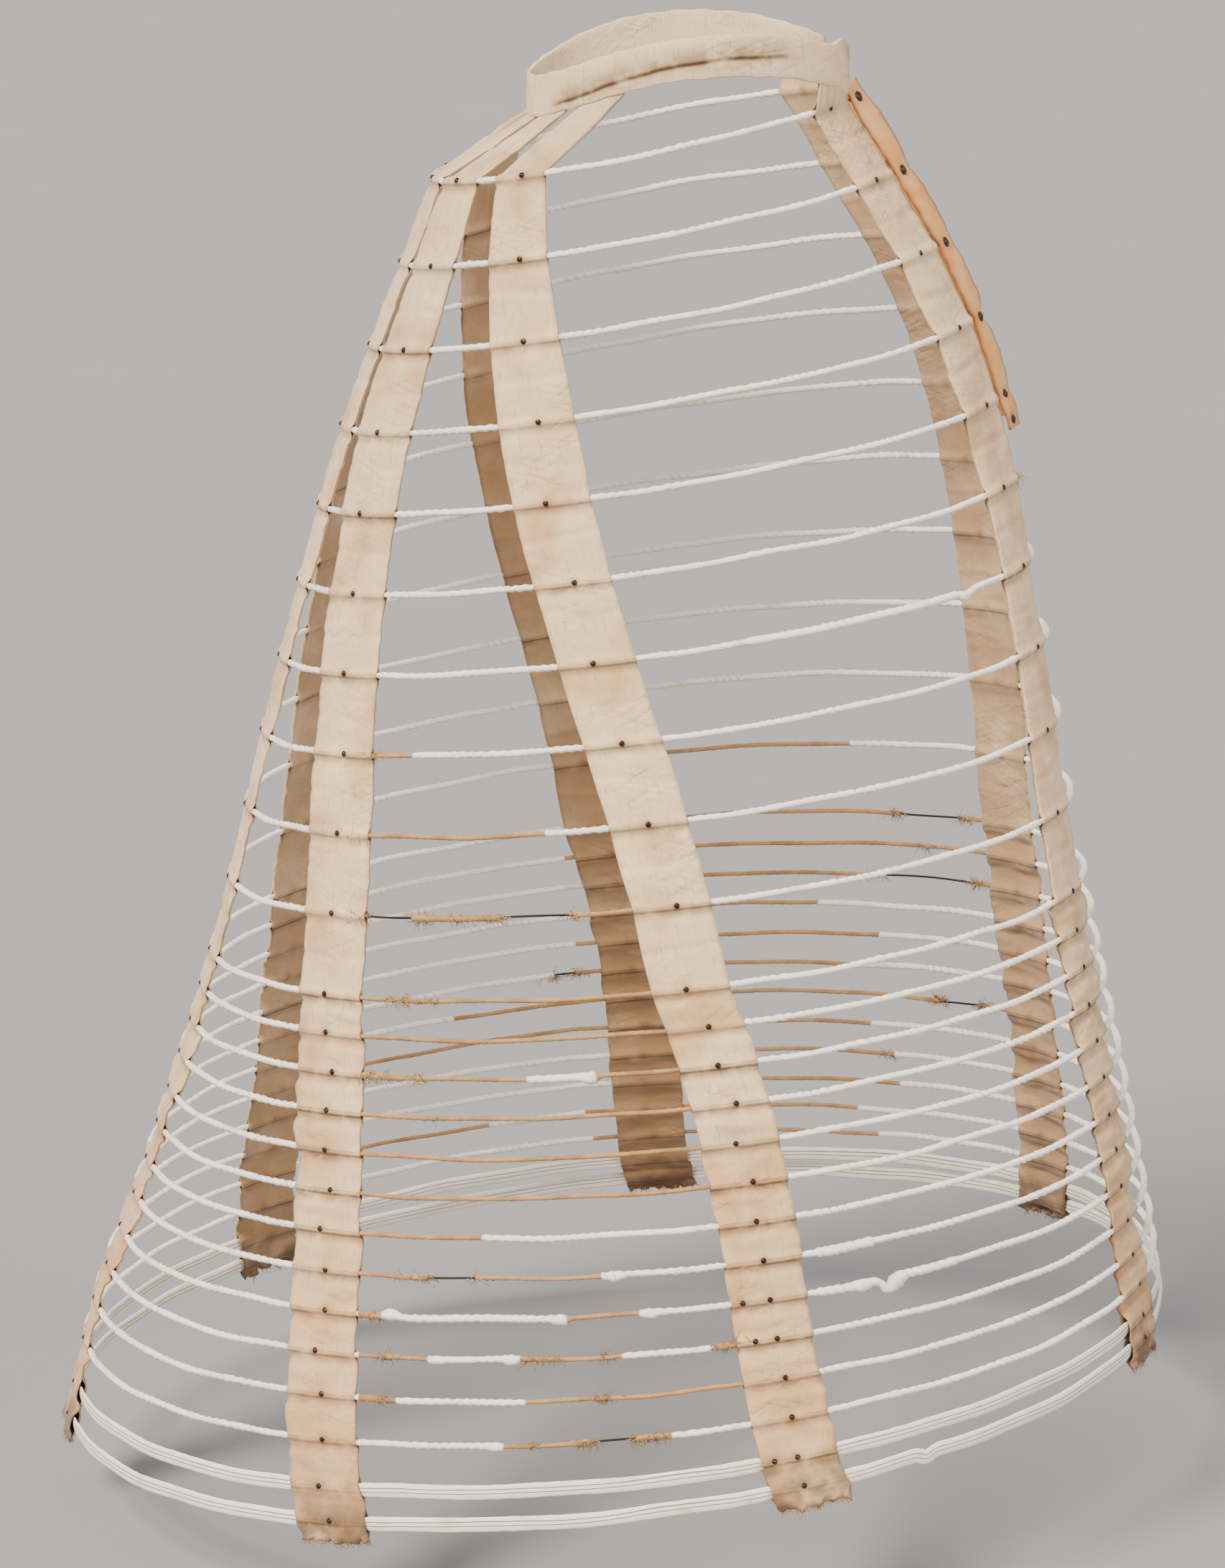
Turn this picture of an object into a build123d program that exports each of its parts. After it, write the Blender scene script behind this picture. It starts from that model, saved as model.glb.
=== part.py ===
"""Crinoline cage of the late 1860s: graded hoops carried by seven double tapes.

The frame is the wearer's: +X is the front, +Y the wearer's left and +Z up, with the origin at the
middle of the waist. Every hoop is a flat oval ring in its own tilted plane. It runs straight across
each tape, between the tape's outer and inner layers, and turns only in the gaps between the tapes.
"""

import os
from math import ceil, cos, degrees, radians, sin

from build123d import *

# Driving dimensions, in millimetres

waist_half_length = 113.0
waist_half_width = 92.0
band_height = 28.0
band_thickness = 3.2
band_arch_rise = 34.0
first_hoop_drop = 45.0
upper_spacing = 54.0
lower_spacing = 25.0
hem_spacing = 18.0
hem_half_length = 391.0
hem_half_width = 361.0
hoop_width = 3.6
hoop_thickness = 3.2
hem_band_width = 10.0
hem_band_thickness = 2.4
tape_width = 52.0
tape_thickness = 1.2
tape_tail = 14.0
facing_width = 20.0
facing_thickness = 1.6
rivet_radius = 2.6
rivet_height = 1.2
stud_radius = 4.0
stud_height = 1.8
seat_clearance = 0.3
edge_clearance = 1.0
overrun = 60.0

# Counts: wide spacing down to the knee hoop, narrow below it, the first hoops open at the front

hoop_count = 24
knee_hoop = 11
open_hoops = 6
faced_hoops = 5
hem_hoops = 2
largest_turn = 15.0
rivet_sides = 4
stud_sides = 8
seat_passes = 3

# The cage's outline, at these hoops, as shares of the hem's half length and half width

knot_numbers = (1, 4, 7, 11, 17, 21, 24)
length_shares = (0.376, 0.558, 0.673, 0.788, 0.888, 0.961, 1.0)
width_shares = (0.274, 0.375, 0.487, 0.659, 0.803, 0.902, 1.0)
centre_shares = (-0.087, -0.067, -0.064, -0.077, -0.097, -0.123, -0.138)
tilt_degrees = (11.0, 9.0, 7.0, 4.6, 3.8, 4.0, 6.0)

# Where the tapes cross the waist and these hoops, in degrees round the oval from the front

station_numbers = (0, 1, 4, 11, 24)
tape_degrees = {
    "front": (40.0, 35.0, 22.0, 25.0, 27.0),
    "side": (130.0, 131.0, 117.0, 91.0, 78.0),
    "back": (156.0, 156.0, 155.0, 141.0, 126.0),
}
centre_back_degrees = 180.0

# The tapes are gathered where they leave the waistband

gather_width_shares = (0.60, 0.68, 0.80, 0.92)

# The waistband's arch: its highest point and its level, and the places where its edges are cut

band_apex_share = 0.12
band_level_share = 0.5
arch_shares = (-1.1, -0.85, -0.6, -0.3, 0, 0.3, 0.6, 0.85, 1.1)
band_apex = waist_half_length * band_apex_share


def drop(number):
    """How far hoop `number` hangs below the middle of the waist."""
    wide_gaps = min(number, knee_hoop) - 1
    narrow_gaps = max(min(number, hoop_count - 1) - knee_hoop, 0)
    hem_gaps = max(number - hoop_count + 1, 0)
    upper_drop = first_hoop_drop + wide_gaps * upper_spacing
    return upper_drop + narrow_gaps * lower_spacing + hem_gaps * hem_spacing


def smooth(knots, values, at):
    """A cubic curve through the values at the knots, read at one place."""
    last = len(knots) - 1
    slopes = []
    for i in range(last + 1):
        before, after = max(i - 1, 0), min(i + 1, last)
        slopes.append((values[after] - values[before]) / (knots[after] - knots[before]))
    i = max(k for k in range(last) if knots[k] <= at)
    span = knots[i + 1] - knots[i]
    t = (at - knots[i]) / span
    rise = values[i + 1] - values[i]
    return (
        values[i]
        + rise * t * t * (3 - 2 * t)
        + span * slopes[i] * t * (1 - t) ** 2
        - span * slopes[i + 1] * t * t * (1 - t)
    )


def outline(shares, number):
    """One of the outline's tables, read at hoop `number` by its drop."""
    return smooth([drop(knot) for knot in knot_numbers], shares, drop(number))


class Oval:
    """A flat oval that the tapes cross: the waist, numbered 0, or a hoop."""

    def __init__(self, number):
        self.number = number
        if number == 0:
            self.length, self.width = waist_half_length, waist_half_width
            self.plane = Plane.XY
        else:
            self.length = hem_half_length * outline(length_shares, number)
            self.width = hem_half_width * outline(width_shares, number)
            tilt = radians(outline(tilt_degrees, number))
            centre = hem_half_length * outline(centre_shares, number)
            self.plane = Plane(
                origin=(centre, 0, -drop(number)),
                x_dir=(cos(tilt), 0, sin(tilt)),
                z_dir=(-sin(tilt), 0, cos(tilt)),
            )

    def point(self, angle):
        return Vector(self.length * cos(radians(angle)), self.width * sin(radians(angle)))

    def tangent(self, angle):
        return Vector(-self.length * sin(radians(angle)), self.width * cos(radians(angle)))

    def heading(self, angle):
        return self.tangent(angle).normalized()

    def turn(self, angle, run):
        """The angle that a run along the oval covers."""
        return degrees(run / self.tangent(angle).length)


def tape_angle(tape, number):
    """Where a tape, named by its place and side, crosses oval `number`."""
    place, _, side = tape.rpartition("_")
    if place not in tape_degrees:
        return centre_back_degrees
    angle = smooth(station_numbers, tape_degrees[place], number)
    return angle if side == "left" else 360 - angle


def tape_width_at(number):
    gathered = number < len(gather_width_shares)
    return tape_width * (gather_width_shares[number] if gathered else 1)


tapes = (
    "front_left", "side_left", "back_left", "centre_back", "back_right", "side_right", "front_right",
)
ovals = [Oval(number) for number in range(hoop_count + 1)]


def open_run(number):
    """How far an open oval's end reaches past the front tape's middle."""
    reach = tape_width_at(number) / 2 + edge_clearance
    if 0 < number <= faced_hoops:
        reach += facing_width + edge_clearance
    return reach


def oval_path(oval):
    """The oval's corners in its plane: straight across each tape, evenly turned between them."""
    is_open = oval.number <= open_hoops
    half_run = tape_width_at(oval.number) / 2 + edge_clearance
    angles = [tape_angle(tape, oval.number) for tape in tapes]
    points = []
    for i, angle in enumerate(angles):
        start_run = open_run(oval.number) if is_open and i == 0 else half_run
        last = i == len(angles) - 1
        end_run = open_run(oval.number) if is_open and last else half_run
        heading = oval.heading(angle)
        points.append(oval.point(angle) - heading * start_run)
        points.append(oval.point(angle) + heading * end_run)
        if is_open and last:
            break
        following = angles[(i + 1) % len(angles)] + (360 if last else 0)
        gap_start = angle + oval.turn(angle, half_run)
        gap_end = following - oval.turn(following, half_run)
        sides = max(1, ceil((gap_end - gap_start) / largest_turn))
        for k in range(1, sides):
            points.append(oval.point(gap_start + (gap_end - gap_start) * k / sides))
    return points


def mitred(points, distance, closed):
    """The path moved sideways by a distance, with sharp corners."""
    moved = []
    count = len(points)
    for i, point in enumerate(points):
        ahead = points[(i + 1) % count] - point if closed or i + 1 < count else point - points[i - 1]
        behind = point - points[i - 1] if closed or i > 0 else ahead
        ahead, behind = ahead.normalized(), behind.normalized()
        normal = Vector(ahead.Y + behind.Y, -ahead.X - behind.X).normalized()
        stretch = normal.dot(Vector(ahead.Y, -ahead.X))
        moved.append(point + normal * (distance / stretch))
    return moved


def strip_boundaries(points, thickness, closed):
    """The boundaries of a strip that follows the path, seen along its height, and their modes."""
    outer = mitred(points, thickness / 2, closed)
    inner = mitred(points, -thickness / 2, closed)
    if closed:
        return (outer, Mode.ADD), (inner, Mode.SUBTRACT)
    return ((outer + inner[::-1], Mode.ADD),)


def hoop_section(number):
    """A hoop's thickness across its plane's radius and its width along its plane's normal."""
    if number == 0:
        return band_thickness, 0
    if number > hoop_count - hem_hoops:
        return hem_band_thickness, hem_band_width
    return hoop_thickness, hoop_width


def band_middle(x):
    """Height of the waistband's middle: it arches over the hips and dips at front and back."""
    share = (x - band_apex) / (waist_half_length + band_apex)
    return band_arch_rise * (band_level_share - share * share)


def band_slope(x):
    return -2 * band_arch_rise * (x - band_apex) / (waist_half_length + band_apex) ** 2


class Crossing:
    """The place where a tape meets an oval: its middle, and the directions across and along it."""

    def __init__(self, tape, number, sideways=0, below=0):
        oval = ovals[number]
        angle = tape_angle(tape, number)
        local = oval.point(angle) + oval.heading(angle) * sideways
        self.number = number
        self.middle = oval.plane.from_local_coords(local)
        self.across = oval.plane.from_local_coords(local + oval.heading(angle)) - self.middle
        self.axial = oval.plane.z_dir
        self.radial = self.across.cross(self.axial)
        if number == 0:
            middle, slope = band_middle(self.middle.X), band_slope(self.middle.X)
            self.middle += Vector(0, 0, middle - below)
            self.across = (self.across + Vector(0, 0, slope * self.across.X)).normalized()

    def support(self, normal):
        """How far the oval's section reaches from its middle in a direction."""
        thickness, width = hoop_section(self.number)
        return abs(normal.dot(self.radial)) * thickness / 2 + abs(normal.dot(self.axial)) * width / 2


def tape_crossings(tape):
    """A tape's crossings, from the waistband's middle and lower edge down to the hem."""
    lower_edge = band_height / 2 + edge_clearance
    stations = [Crossing(tape, 0), Crossing(tape, 0, below=lower_edge)]
    return stations + [Crossing(tape, number) for number in range(1, hoop_count + 1)]


def facing_crossings(tape):
    """A leather facing's crossings, beside its tape, over the ends of the open hoops."""
    sign = -1 if tape.endswith("left") else 1
    stations = []
    for number in range(1, faced_hoops + 1):
        sideways = sign * (tape_width_at(number) / 2 + edge_clearance + facing_width / 2)
        stations.append(Crossing(tape, number, sideways))
    return stations


def seats(stations, side):
    """For each crossing, the direction off the oval and how far the cloth's near face lies from it.

    The near face's own slopes decide how far it has to stand off, so it is found in a few passes.
    """
    near = [station.middle for station in stations]
    for _ in range(seat_passes):
        result = []
        for i, station in enumerate(stations):
            ends = [pair for pair in ((i - 1, i), (i, i + 1)) if 0 <= pair[0] and pair[1] < len(near)]
            normals = [station.across.cross(near[a] - near[b]).normalized() for a, b in ends]
            if station.number == 0:
                normals[0] = station.radial
            normal = sum(normals, Vector(0, 0, 0)).normalized()
            reach = max((station.support(n) + seat_clearance) / normal.dot(n) for n in normals)
            result.append((normal * side, reach))
        near = [station.middle + seat * reach for station, (seat, reach) in zip(stations, result)]
    return result


def layer_planes(stations, side, thickness):
    """Planes across the cloth at each crossing, through the middle of its thickness."""
    planes = []
    for station, (normal, reach) in zip(stations, seats(stations, side)):
        origin = station.middle + normal * (reach + thickness / 2)
        planes.append(Plane(origin=origin, x_dir=station.across, z_dir=station.across.cross(normal)))
    return planes


def head_planes(planes, thickness, radius):
    """Planes on the cloth's outer face at each crossing, clear of the fold there, for fasteners."""
    heads = []
    for i, plane in enumerate(planes):
        normal = plane.y_dir
        neighbours = planes[max(i - 1, 0):i] + planes[i + 1:i + 2]
        rises = [(other.origin - plane.origin).normalized().dot(normal) for other in neighbours]
        lift = seat_clearance + radius * max(0, *rises)
        foot = plane.origin + normal * (thickness / 2 + lift)
        heads.append(Plane(origin=foot, x_dir=plane.x_dir, z_dir=normal))
    return heads


def finish(piece, name):
    piece.part.label = name
    export_step(piece.part, f"parts/{name}.step")


os.makedirs("parts", exist_ok=True)

# Hoops: flat rings, the first ones open at the front, the last two wide hem bands

for number in range(1, hoop_count + 1):
    thickness, width = hoop_section(number)
    path = oval_path(ovals[number])
    with BuildPart() as hoop:
        with BuildSketch(ovals[number].plane):
            for boundary, mode in strip_boundaries(path, thickness, closed=number > open_hoops):
                with BuildLine():
                    Polyline(*boundary, close=True)
                make_face(mode=mode)
        extrude(amount=width / 2, both=True)
    finish(hoop, f"hoop_{number:02d}")

# Waistband: an upright strip round the waist, cut to its arch as seen from the side

with BuildPart() as waistband:
    with BuildSketch(Plane.XY.offset(-overrun)):
        for boundary, mode in strip_boundaries(oval_path(ovals[0]), band_thickness, closed=False):
            with BuildLine():
                Polyline(*boundary, close=True)
            make_face(mode=mode)
    extrude(amount=2 * overrun)
    with BuildSketch(Plane.XZ):
        with BuildLine():
            arch = [waist_half_length * share for share in arch_shares]
            upper = [(x, band_middle(x) + band_height / 2) for x in arch]
            lower = [(x, band_middle(x) - band_height / 2) for x in reversed(arch)]
            Polyline(*upper, *lower, close=True)
        make_face()
    extrude(amount=2 * waist_half_width, both=True, mode=Mode.INTERSECT)
finish(waistband, "waistband")

# Tapes: an outer and an inner layer, with every hoop and the waistband between them, and rivet heads

for tape in tapes:
    stations = tape_crossings(tape)
    for layer, side in (("inner", -1), ("outer", 1)):
        planes = layer_planes(stations, side, tape_thickness)
        with BuildPart() as cloth:
            for station, plane in zip(stations, planes):
                with BuildSketch(plane):
                    Rectangle(tape_width_at(station.number), tape_thickness)
            with BuildSketch(planes[-1].offset(tape_tail)):
                Rectangle(tape_width, tape_thickness)
            loft(ruled=True, clean=False)
        finish(cloth, f"tape_{tape}_{layer}")
    with BuildPart() as rivets:
        for plane in head_planes(planes, tape_thickness, rivet_radius)[2:]:
            with BuildSketch(plane):
                RegularPolygon(rivet_radius, rivet_sides)
        extrude(amount=rivet_height)
    finish(rivets, f"rivets_{tape}")

# Leather facings: beside the front tapes, over the ends of the open hoops, with a stud at each

for side_name in ("left", "right"):
    planes = layer_planes(facing_crossings(f"front_{side_name}"), 1, facing_thickness)
    with BuildPart() as facing:
        for plane in (planes[0].offset(-tape_tail), *planes, planes[-1].offset(tape_tail)):
            with BuildSketch(plane):
                Rectangle(facing_width, facing_thickness)
        loft(ruled=True, clean=False)
    finish(facing, f"facing_{side_name}")
    with BuildPart() as studs:
        for plane in head_planes(planes, facing_thickness, stud_radius):
            with BuildSketch(plane):
                RegularPolygon(stud_radius, stud_sides)
        extrude(amount=stud_height)
    finish(studs, f"facing_studs_{side_name}")
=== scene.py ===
# %% [markdown]
# # A crinoline cage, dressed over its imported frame
#
# The object is an underskirt of the late 1860s: two dozen steel hoops in cotton covers, held in seven
# double tapes that hang from a narrow waistband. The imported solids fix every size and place. This
# script only gives them their cloth, thread, leather and metal, in the same frame and in metres:
# +X is the wearer's front, +Y the wearer's left and +Z up, with the origin in the middle of the waist.

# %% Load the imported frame
import math

import bmesh
import bpy
import numpy as np
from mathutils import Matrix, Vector


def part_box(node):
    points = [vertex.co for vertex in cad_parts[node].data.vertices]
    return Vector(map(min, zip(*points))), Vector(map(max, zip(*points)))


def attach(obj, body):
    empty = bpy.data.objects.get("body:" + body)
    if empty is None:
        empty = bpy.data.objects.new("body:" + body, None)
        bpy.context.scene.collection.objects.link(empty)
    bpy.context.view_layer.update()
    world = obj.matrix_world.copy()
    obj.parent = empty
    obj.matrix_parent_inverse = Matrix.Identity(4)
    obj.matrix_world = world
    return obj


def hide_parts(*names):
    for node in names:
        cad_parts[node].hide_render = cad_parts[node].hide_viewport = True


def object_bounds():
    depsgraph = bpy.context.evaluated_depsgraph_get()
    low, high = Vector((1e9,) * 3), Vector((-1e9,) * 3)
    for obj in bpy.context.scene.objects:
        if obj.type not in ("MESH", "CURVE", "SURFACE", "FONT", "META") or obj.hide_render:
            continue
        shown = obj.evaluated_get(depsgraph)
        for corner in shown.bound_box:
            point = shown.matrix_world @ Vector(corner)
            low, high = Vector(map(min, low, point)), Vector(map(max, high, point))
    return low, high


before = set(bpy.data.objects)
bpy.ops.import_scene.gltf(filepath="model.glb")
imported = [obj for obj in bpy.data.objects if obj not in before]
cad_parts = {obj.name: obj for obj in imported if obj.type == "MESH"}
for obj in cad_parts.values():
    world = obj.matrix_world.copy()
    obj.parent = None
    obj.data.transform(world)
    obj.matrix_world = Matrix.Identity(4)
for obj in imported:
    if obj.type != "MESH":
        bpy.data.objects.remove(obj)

cad_box = [list(corner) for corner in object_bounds()]
print("CAD box", cad_box)

# %% [markdown]
# ## The camera
#
# The photograph was taken from the wearer's right, a little above the waist and from nearly four
# metres, with a long lens. The same camera is set up first, because the places of worn spots on the
# hoops are read from the photograph as picture columns and have to be turned into places on a hoop.
# A column only picks the place along a hoop, so everything still sits on what carries it.

# %% Camera at the photograph's viewing angle
PHOTO_WIDTH, PHOTO_HEIGHT = 1706, 2184
FOCAL_PIXELS = 7975
SENSOR_HEIGHT = 36.0
CAMERA_PLACE = np.array((-0.566, -3.871, 0.402))
CAMERA_YAW, CAMERA_PITCH = math.radians(7.5), math.radians(13.0)

forward = np.array((
    math.sin(CAMERA_YAW) * math.cos(CAMERA_PITCH),
    math.cos(CAMERA_YAW) * math.cos(CAMERA_PITCH),
    -math.sin(CAMERA_PITCH),
))
rightward = np.array((math.cos(CAMERA_YAW), -math.sin(CAMERA_YAW), 0.0))

lens = bpy.data.cameras.new("photograph_camera")
lens.sensor_fit = "VERTICAL"
lens.sensor_height = SENSOR_HEIGHT
lens.lens = SENSOR_HEIGHT * FOCAL_PIXELS / PHOTO_HEIGHT
camera = bpy.data.objects.new("photograph_camera", lens)
camera.location = CAMERA_PLACE
camera.rotation_euler = Vector(forward).to_track_quat("-Z", "Y").to_euler()
bpy.context.scene.collection.objects.link(camera)
bpy.context.scene.camera = camera


def picture_column(points):
    """The photograph's column, in pixels, at which points of the frame show."""
    away = np.asarray(points) - CAMERA_PLACE
    return PHOTO_WIDTH / 2 + FOCAL_PIXELS * (away @ rightward) / (away @ forward)


waist_column = picture_column(np.zeros(3))
print(f"a lens of {lens.lens:.1f} mm; the middle of the waist shows in column {waist_column:.0f}")

# %% [markdown]
# ## The hoops' outline
#
# Each hoop is an oval in its own tilted plane. The hoops are far apart down to the knee and close
# together below it, and their fronts are tipped up, most of all near the waist. The same few sizes and
# shares that shape the solids are repeated here, and a smooth curve through them gives every hoop.

# %% Ovals of the hoops and the waist
HOOP_COUNT, KNEE_HOOP, OPEN_HOOPS, FIRST_HEM_HOOP = 24, 11, 6, 23
FIRST_DROP, UPPER_SPACING, LOWER_SPACING, HEM_SPACING = 0.045, 0.054, 0.025, 0.018
HEM_HALF_LENGTH, HEM_HALF_WIDTH = 0.391, 0.361
WAIST_HALF_LENGTH, WAIST_HALF_WIDTH = 0.113, 0.092
BAND_ARCH_RISE, BAND_APEX, BAND_LEVEL_SHARE = 0.034, 0.01356, 0.5
KNOT_HOOPS = (1, 4, 7, 11, 17, 21, 24)
LENGTH_SHARES = (0.376, 0.558, 0.673, 0.788, 0.888, 0.961, 1.0)
WIDTH_SHARES = (0.274, 0.375, 0.487, 0.659, 0.803, 0.902, 1.0)
CENTRE_SHARES = (-0.087, -0.067, -0.064, -0.077, -0.097, -0.123, -0.138)
TILT_DEGREES = (11.0, 9.0, 7.0, 4.6, 3.8, 4.0, 6.0)


def drop(number):
    """How far a hoop hangs below the middle of the waist."""
    wide = min(number, KNEE_HOOP) - 1
    narrow, hem = max(min(number, HOOP_COUNT - 1) - KNEE_HOOP, 0), max(number - HOOP_COUNT + 1, 0)
    return FIRST_DROP + wide * UPPER_SPACING + narrow * LOWER_SPACING + hem * HEM_SPACING


def smooth(knots, values, at):
    """A cubic curve through the values at the knots, read at one place."""
    last = len(knots) - 1
    before = [max(i - 1, 0) for i in range(last + 1)]
    after = [min(i + 1, last) for i in range(last + 1)]
    slopes = [(values[b] - values[a]) / (knots[b] - knots[a]) for a, b in zip(before, after)]
    i = max(k for k in range(last) if knots[k] <= at)
    span, rise = knots[i + 1] - knots[i], values[i + 1] - values[i]
    t = (at - knots[i]) / span
    bend = slopes[i] * t * (1 - t) ** 2 - slopes[i + 1] * t * t * (1 - t)
    return values[i] + rise * t * t * (3 - 2 * t) + span * bend


def band_middle(x):
    """Height of the waistband's middle: it arches over the hips and dips at front and back."""
    share = (x - BAND_APEX) / (WAIST_HALF_LENGTH + BAND_APEX)
    return BAND_ARCH_RISE * (BAND_LEVEL_SHARE - share * share)


class Oval:
    """The oval of hoop `number`, or of the waistband's middle for number 0."""

    def __init__(self, number):
        self.number = number
        self.length, self.width = WAIST_HALF_LENGTH, WAIST_HALF_WIDTH
        self.centre = self.height = self.tilt = 0.0
        if number:
            drops = [drop(knot) for knot in KNOT_HOOPS]
            read = [
                smooth(drops, table, drop(number))
                for table in (LENGTH_SHARES, WIDTH_SHARES, CENTRE_SHARES, TILT_DEGREES)
            ]
            self.length, self.width = HEM_HALF_LENGTH * read[0], HEM_HALF_WIDTH * read[1]
            self.centre, self.tilt = HEM_HALF_LENGTH * read[2], math.radians(read[3])
            self.height = -drop(number)

    def point(self, angles):
        """Points of the frame at angles in degrees from the front, anticlockwise from above."""
        turn = np.radians(angles)
        along, aside = self.length * np.cos(turn), self.width * np.sin(turn)
        x = self.centre + along * math.cos(self.tilt)
        z = self.height + along * math.sin(self.tilt)
        if self.number == 0:
            z = band_middle(x)
        return np.stack((x, aside, z), axis=-1)

    def speed(self, angle):
        """Length of oval per radian at an angle."""
        turn = math.radians(angle)
        return math.hypot(self.length * math.sin(turn), self.width * math.cos(turn))


ovals = [Oval(number) for number in range(HOOP_COUNT + 1)]
for number in (1, KNEE_HOOP, HOOP_COUNT):
    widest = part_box(f"hoop_{number:02d}")[1].y
    print(f"hoop {number}: half width {ovals[number].width:.4f} m, its solid reaches {widest:.4f} m")

# %% [markdown]
# The tapes wander round the ovals from the waist to the hem. A tape's place is its angle at a few
# hoops, and the left ones mirror the right ones. Past the middle of a front tape the end of an open
# hoop runs straight on, because nothing bends it there.

# %% Where the tapes cross the hoops
TAPES = ("front_left", "side_left", "back_left", "centre_back", "back_right", "side_right", "front_right")
TAPE_WIDTH = 0.052
GATHER_WIDTH_SHARES = (0.60, 0.68, 0.80, 0.92)
STATION_HOOPS = (0, 1, 4, 11, 24)
TAPE_DEGREES = {
    "front": (40.0, 35.0, 22.0, 25.0, 27.0),
    "side": (130.0, 131.0, 117.0, 91.0, 78.0),
    "back": (156.0, 156.0, 155.0, 141.0, 126.0),
}
BACK_DEGREES, NEAR_SIDE_DEGREES, HEADING_STEP = 180.0, 270.0, 0.01
NEAR_SWEEP, FAR_SWEEP, SWEEP_POINTS = (195, 345), (165, 15), 400


def unit(vectors):
    """The same vectors with a length of 1."""
    return vectors / np.linalg.norm(vectors, axis=-1, keepdims=True)


def tape_angle(tape, number):
    """Where a tape crosses an oval, in degrees from the front."""
    place, side = tape.rsplit("_", 1)
    if place not in TAPE_DEGREES:
        return BACK_DEGREES
    angle = smooth(STATION_HOOPS, TAPE_DEGREES[place], number)
    return angle if side == "left" else 360 - angle


def tape_width_at(number):
    """A tape's width at a hoop; it is gathered near the waist."""
    gathered = number < len(GATHER_WIDTH_SHARES)
    return TAPE_WIDTH * (GATHER_WIDTH_SHARES[number] if gathered else 1)


def beside_tape(tape, number, offsets):
    """Points along an oval at lengths from a tape's middle; an open hoop's end runs straight on."""
    oval, middle = ovals[number], tape_angle(tape, number)
    points = oval.point(middle + np.degrees(offsets / oval.speed(middle)))
    if tape.startswith("front") and number <= OPEN_HOOPS:
        forward_sign = -1 if tape.endswith("left") else 1
        here, ahead = oval.point(np.array((middle, middle + HEADING_STEP)))
        beyond = offsets * forward_sign > 0
        points[beyond] = here + offsets[beyond][:, None] * unit(ahead - here)
    return points


def angle_at(number, column, side):
    """The place on a hoop's near or far side that shows in a column of the photograph."""
    angles = np.linspace(*(NEAR_SWEEP if side == "near" else FAR_SWEEP), SWEEP_POINTS)
    columns = picture_column(ovals[number].point(angles))
    angle = float(np.interp(column, columns, angles))
    return angle if side == "near" else angle + 360


knee_degrees = tape_angle("side_right", KNEE_HOOP)
print(f"the right side tape crosses hoop {KNEE_HOOP} at {knee_degrees:.0f} degrees")

# %% [markdown]
# ## Small helpers for node trees
#
# A node tree written in code is easier to read when one call makes a node, sets it and wires it.
# `node` does that for geometry and for shading trees alike. `baked` gives a mesh a geometry tree, sets
# its named sizes, and keeps only the finished plain mesh.

# %% Node helpers
MILLIMETRE = 0.001
pieces = []


def node(tree, kind, sources=None, **settings):
    """A new node with its settings made, and its inputs linked or given a value."""
    made = tree.nodes.new(kind)
    for name, value in settings.items():
        setattr(made, name, value)
    for key, source in (sources or {}).items():
        if isinstance(source, bpy.types.NodeSocket):
            tree.links.new(source, made.inputs[key])
        else:
            made.inputs[key].default_value = source
    return made


def maths(tree, operation, first, second=0.0):
    """The result of one sum."""
    return node(tree, "ShaderNodeMath", {0: first, 1: second}, operation=operation).outputs[0]


def shape_tree(name, inputs):
    """An empty geometry tree with named inputs, and its two end nodes."""
    tree = bpy.data.node_groups.new(name, "GeometryNodeTree")
    tree.interface.new_socket("Geometry", in_out="INPUT", socket_type="NodeSocketGeometry")
    for label, kind in inputs:
        tree.interface.new_socket(label, in_out="INPUT", socket_type=f"NodeSocket{kind}")
    tree.interface.new_socket("Geometry", in_out="OUTPUT", socket_type="NodeSocketGeometry")
    return tree, tree.nodes.new("NodeGroupInput").outputs, tree.nodes.new("NodeGroupOutput").inputs


def finished(tree, geometry, output, material):
    """The last nodes of every geometry tree."""
    real = node(tree, "GeometryNodeRealizeInstances", {"Geometry": geometry})
    made = node(tree, "GeometryNodeSetMaterial", {"Geometry": real.outputs[0], "Material": material})
    tree.links.new(made.outputs[0], output[0])


def attribute(tree, name, kind="FLOAT"):
    """A value that rides on a mesh, read in a geometry tree."""
    return node(tree, "GeometryNodeInputNamedAttribute", {"Name": name}, data_type=kind).outputs[0]


def with_attributes(mesh, values, kind="FLOAT"):
    """Keeps one value per vertex under each name."""
    for name, value in values.items():
        data = mesh.attributes.new(name, kind, "POINT").data
        key = "vector" if kind == "FLOAT_VECTOR" else "value"
        data.foreach_set(key, np.ascontiguousarray(value, dtype=np.float32).ravel())
    return mesh


def placed(name, mesh):
    """A mesh as a piece of the scene, at the origin."""
    piece = bpy.data.objects.new(name, mesh)
    bpy.context.scene.collection.objects.link(piece)
    return piece


def baked(name, mesh, tree, sizes):
    """The plain mesh that a geometry tree makes of a mesh, as a piece at the origin."""
    piece = placed(name, mesh)
    shape = piece.modifiers.new("shape", "NODES")
    shape.node_group = tree
    for item in tree.interface.items_tree:
        if item.in_out == "INPUT" and item.name in sizes:
            shape[item.identifier] = sizes[item.name]
    bpy.context.view_layer.update()
    made = bpy.data.meshes.new_from_object(piece.evaluated_get(bpy.context.evaluated_depsgraph_get()))
    piece.modifiers.remove(shape)
    piece.data = made
    return piece


def settled(piece, slot, *nodes):
    """Fixes a finished piece to the cage, in place of the solids that it stands for."""
    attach(piece, "root")
    if nodes:
        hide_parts(*nodes)
    pieces.append(piece)


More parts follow.
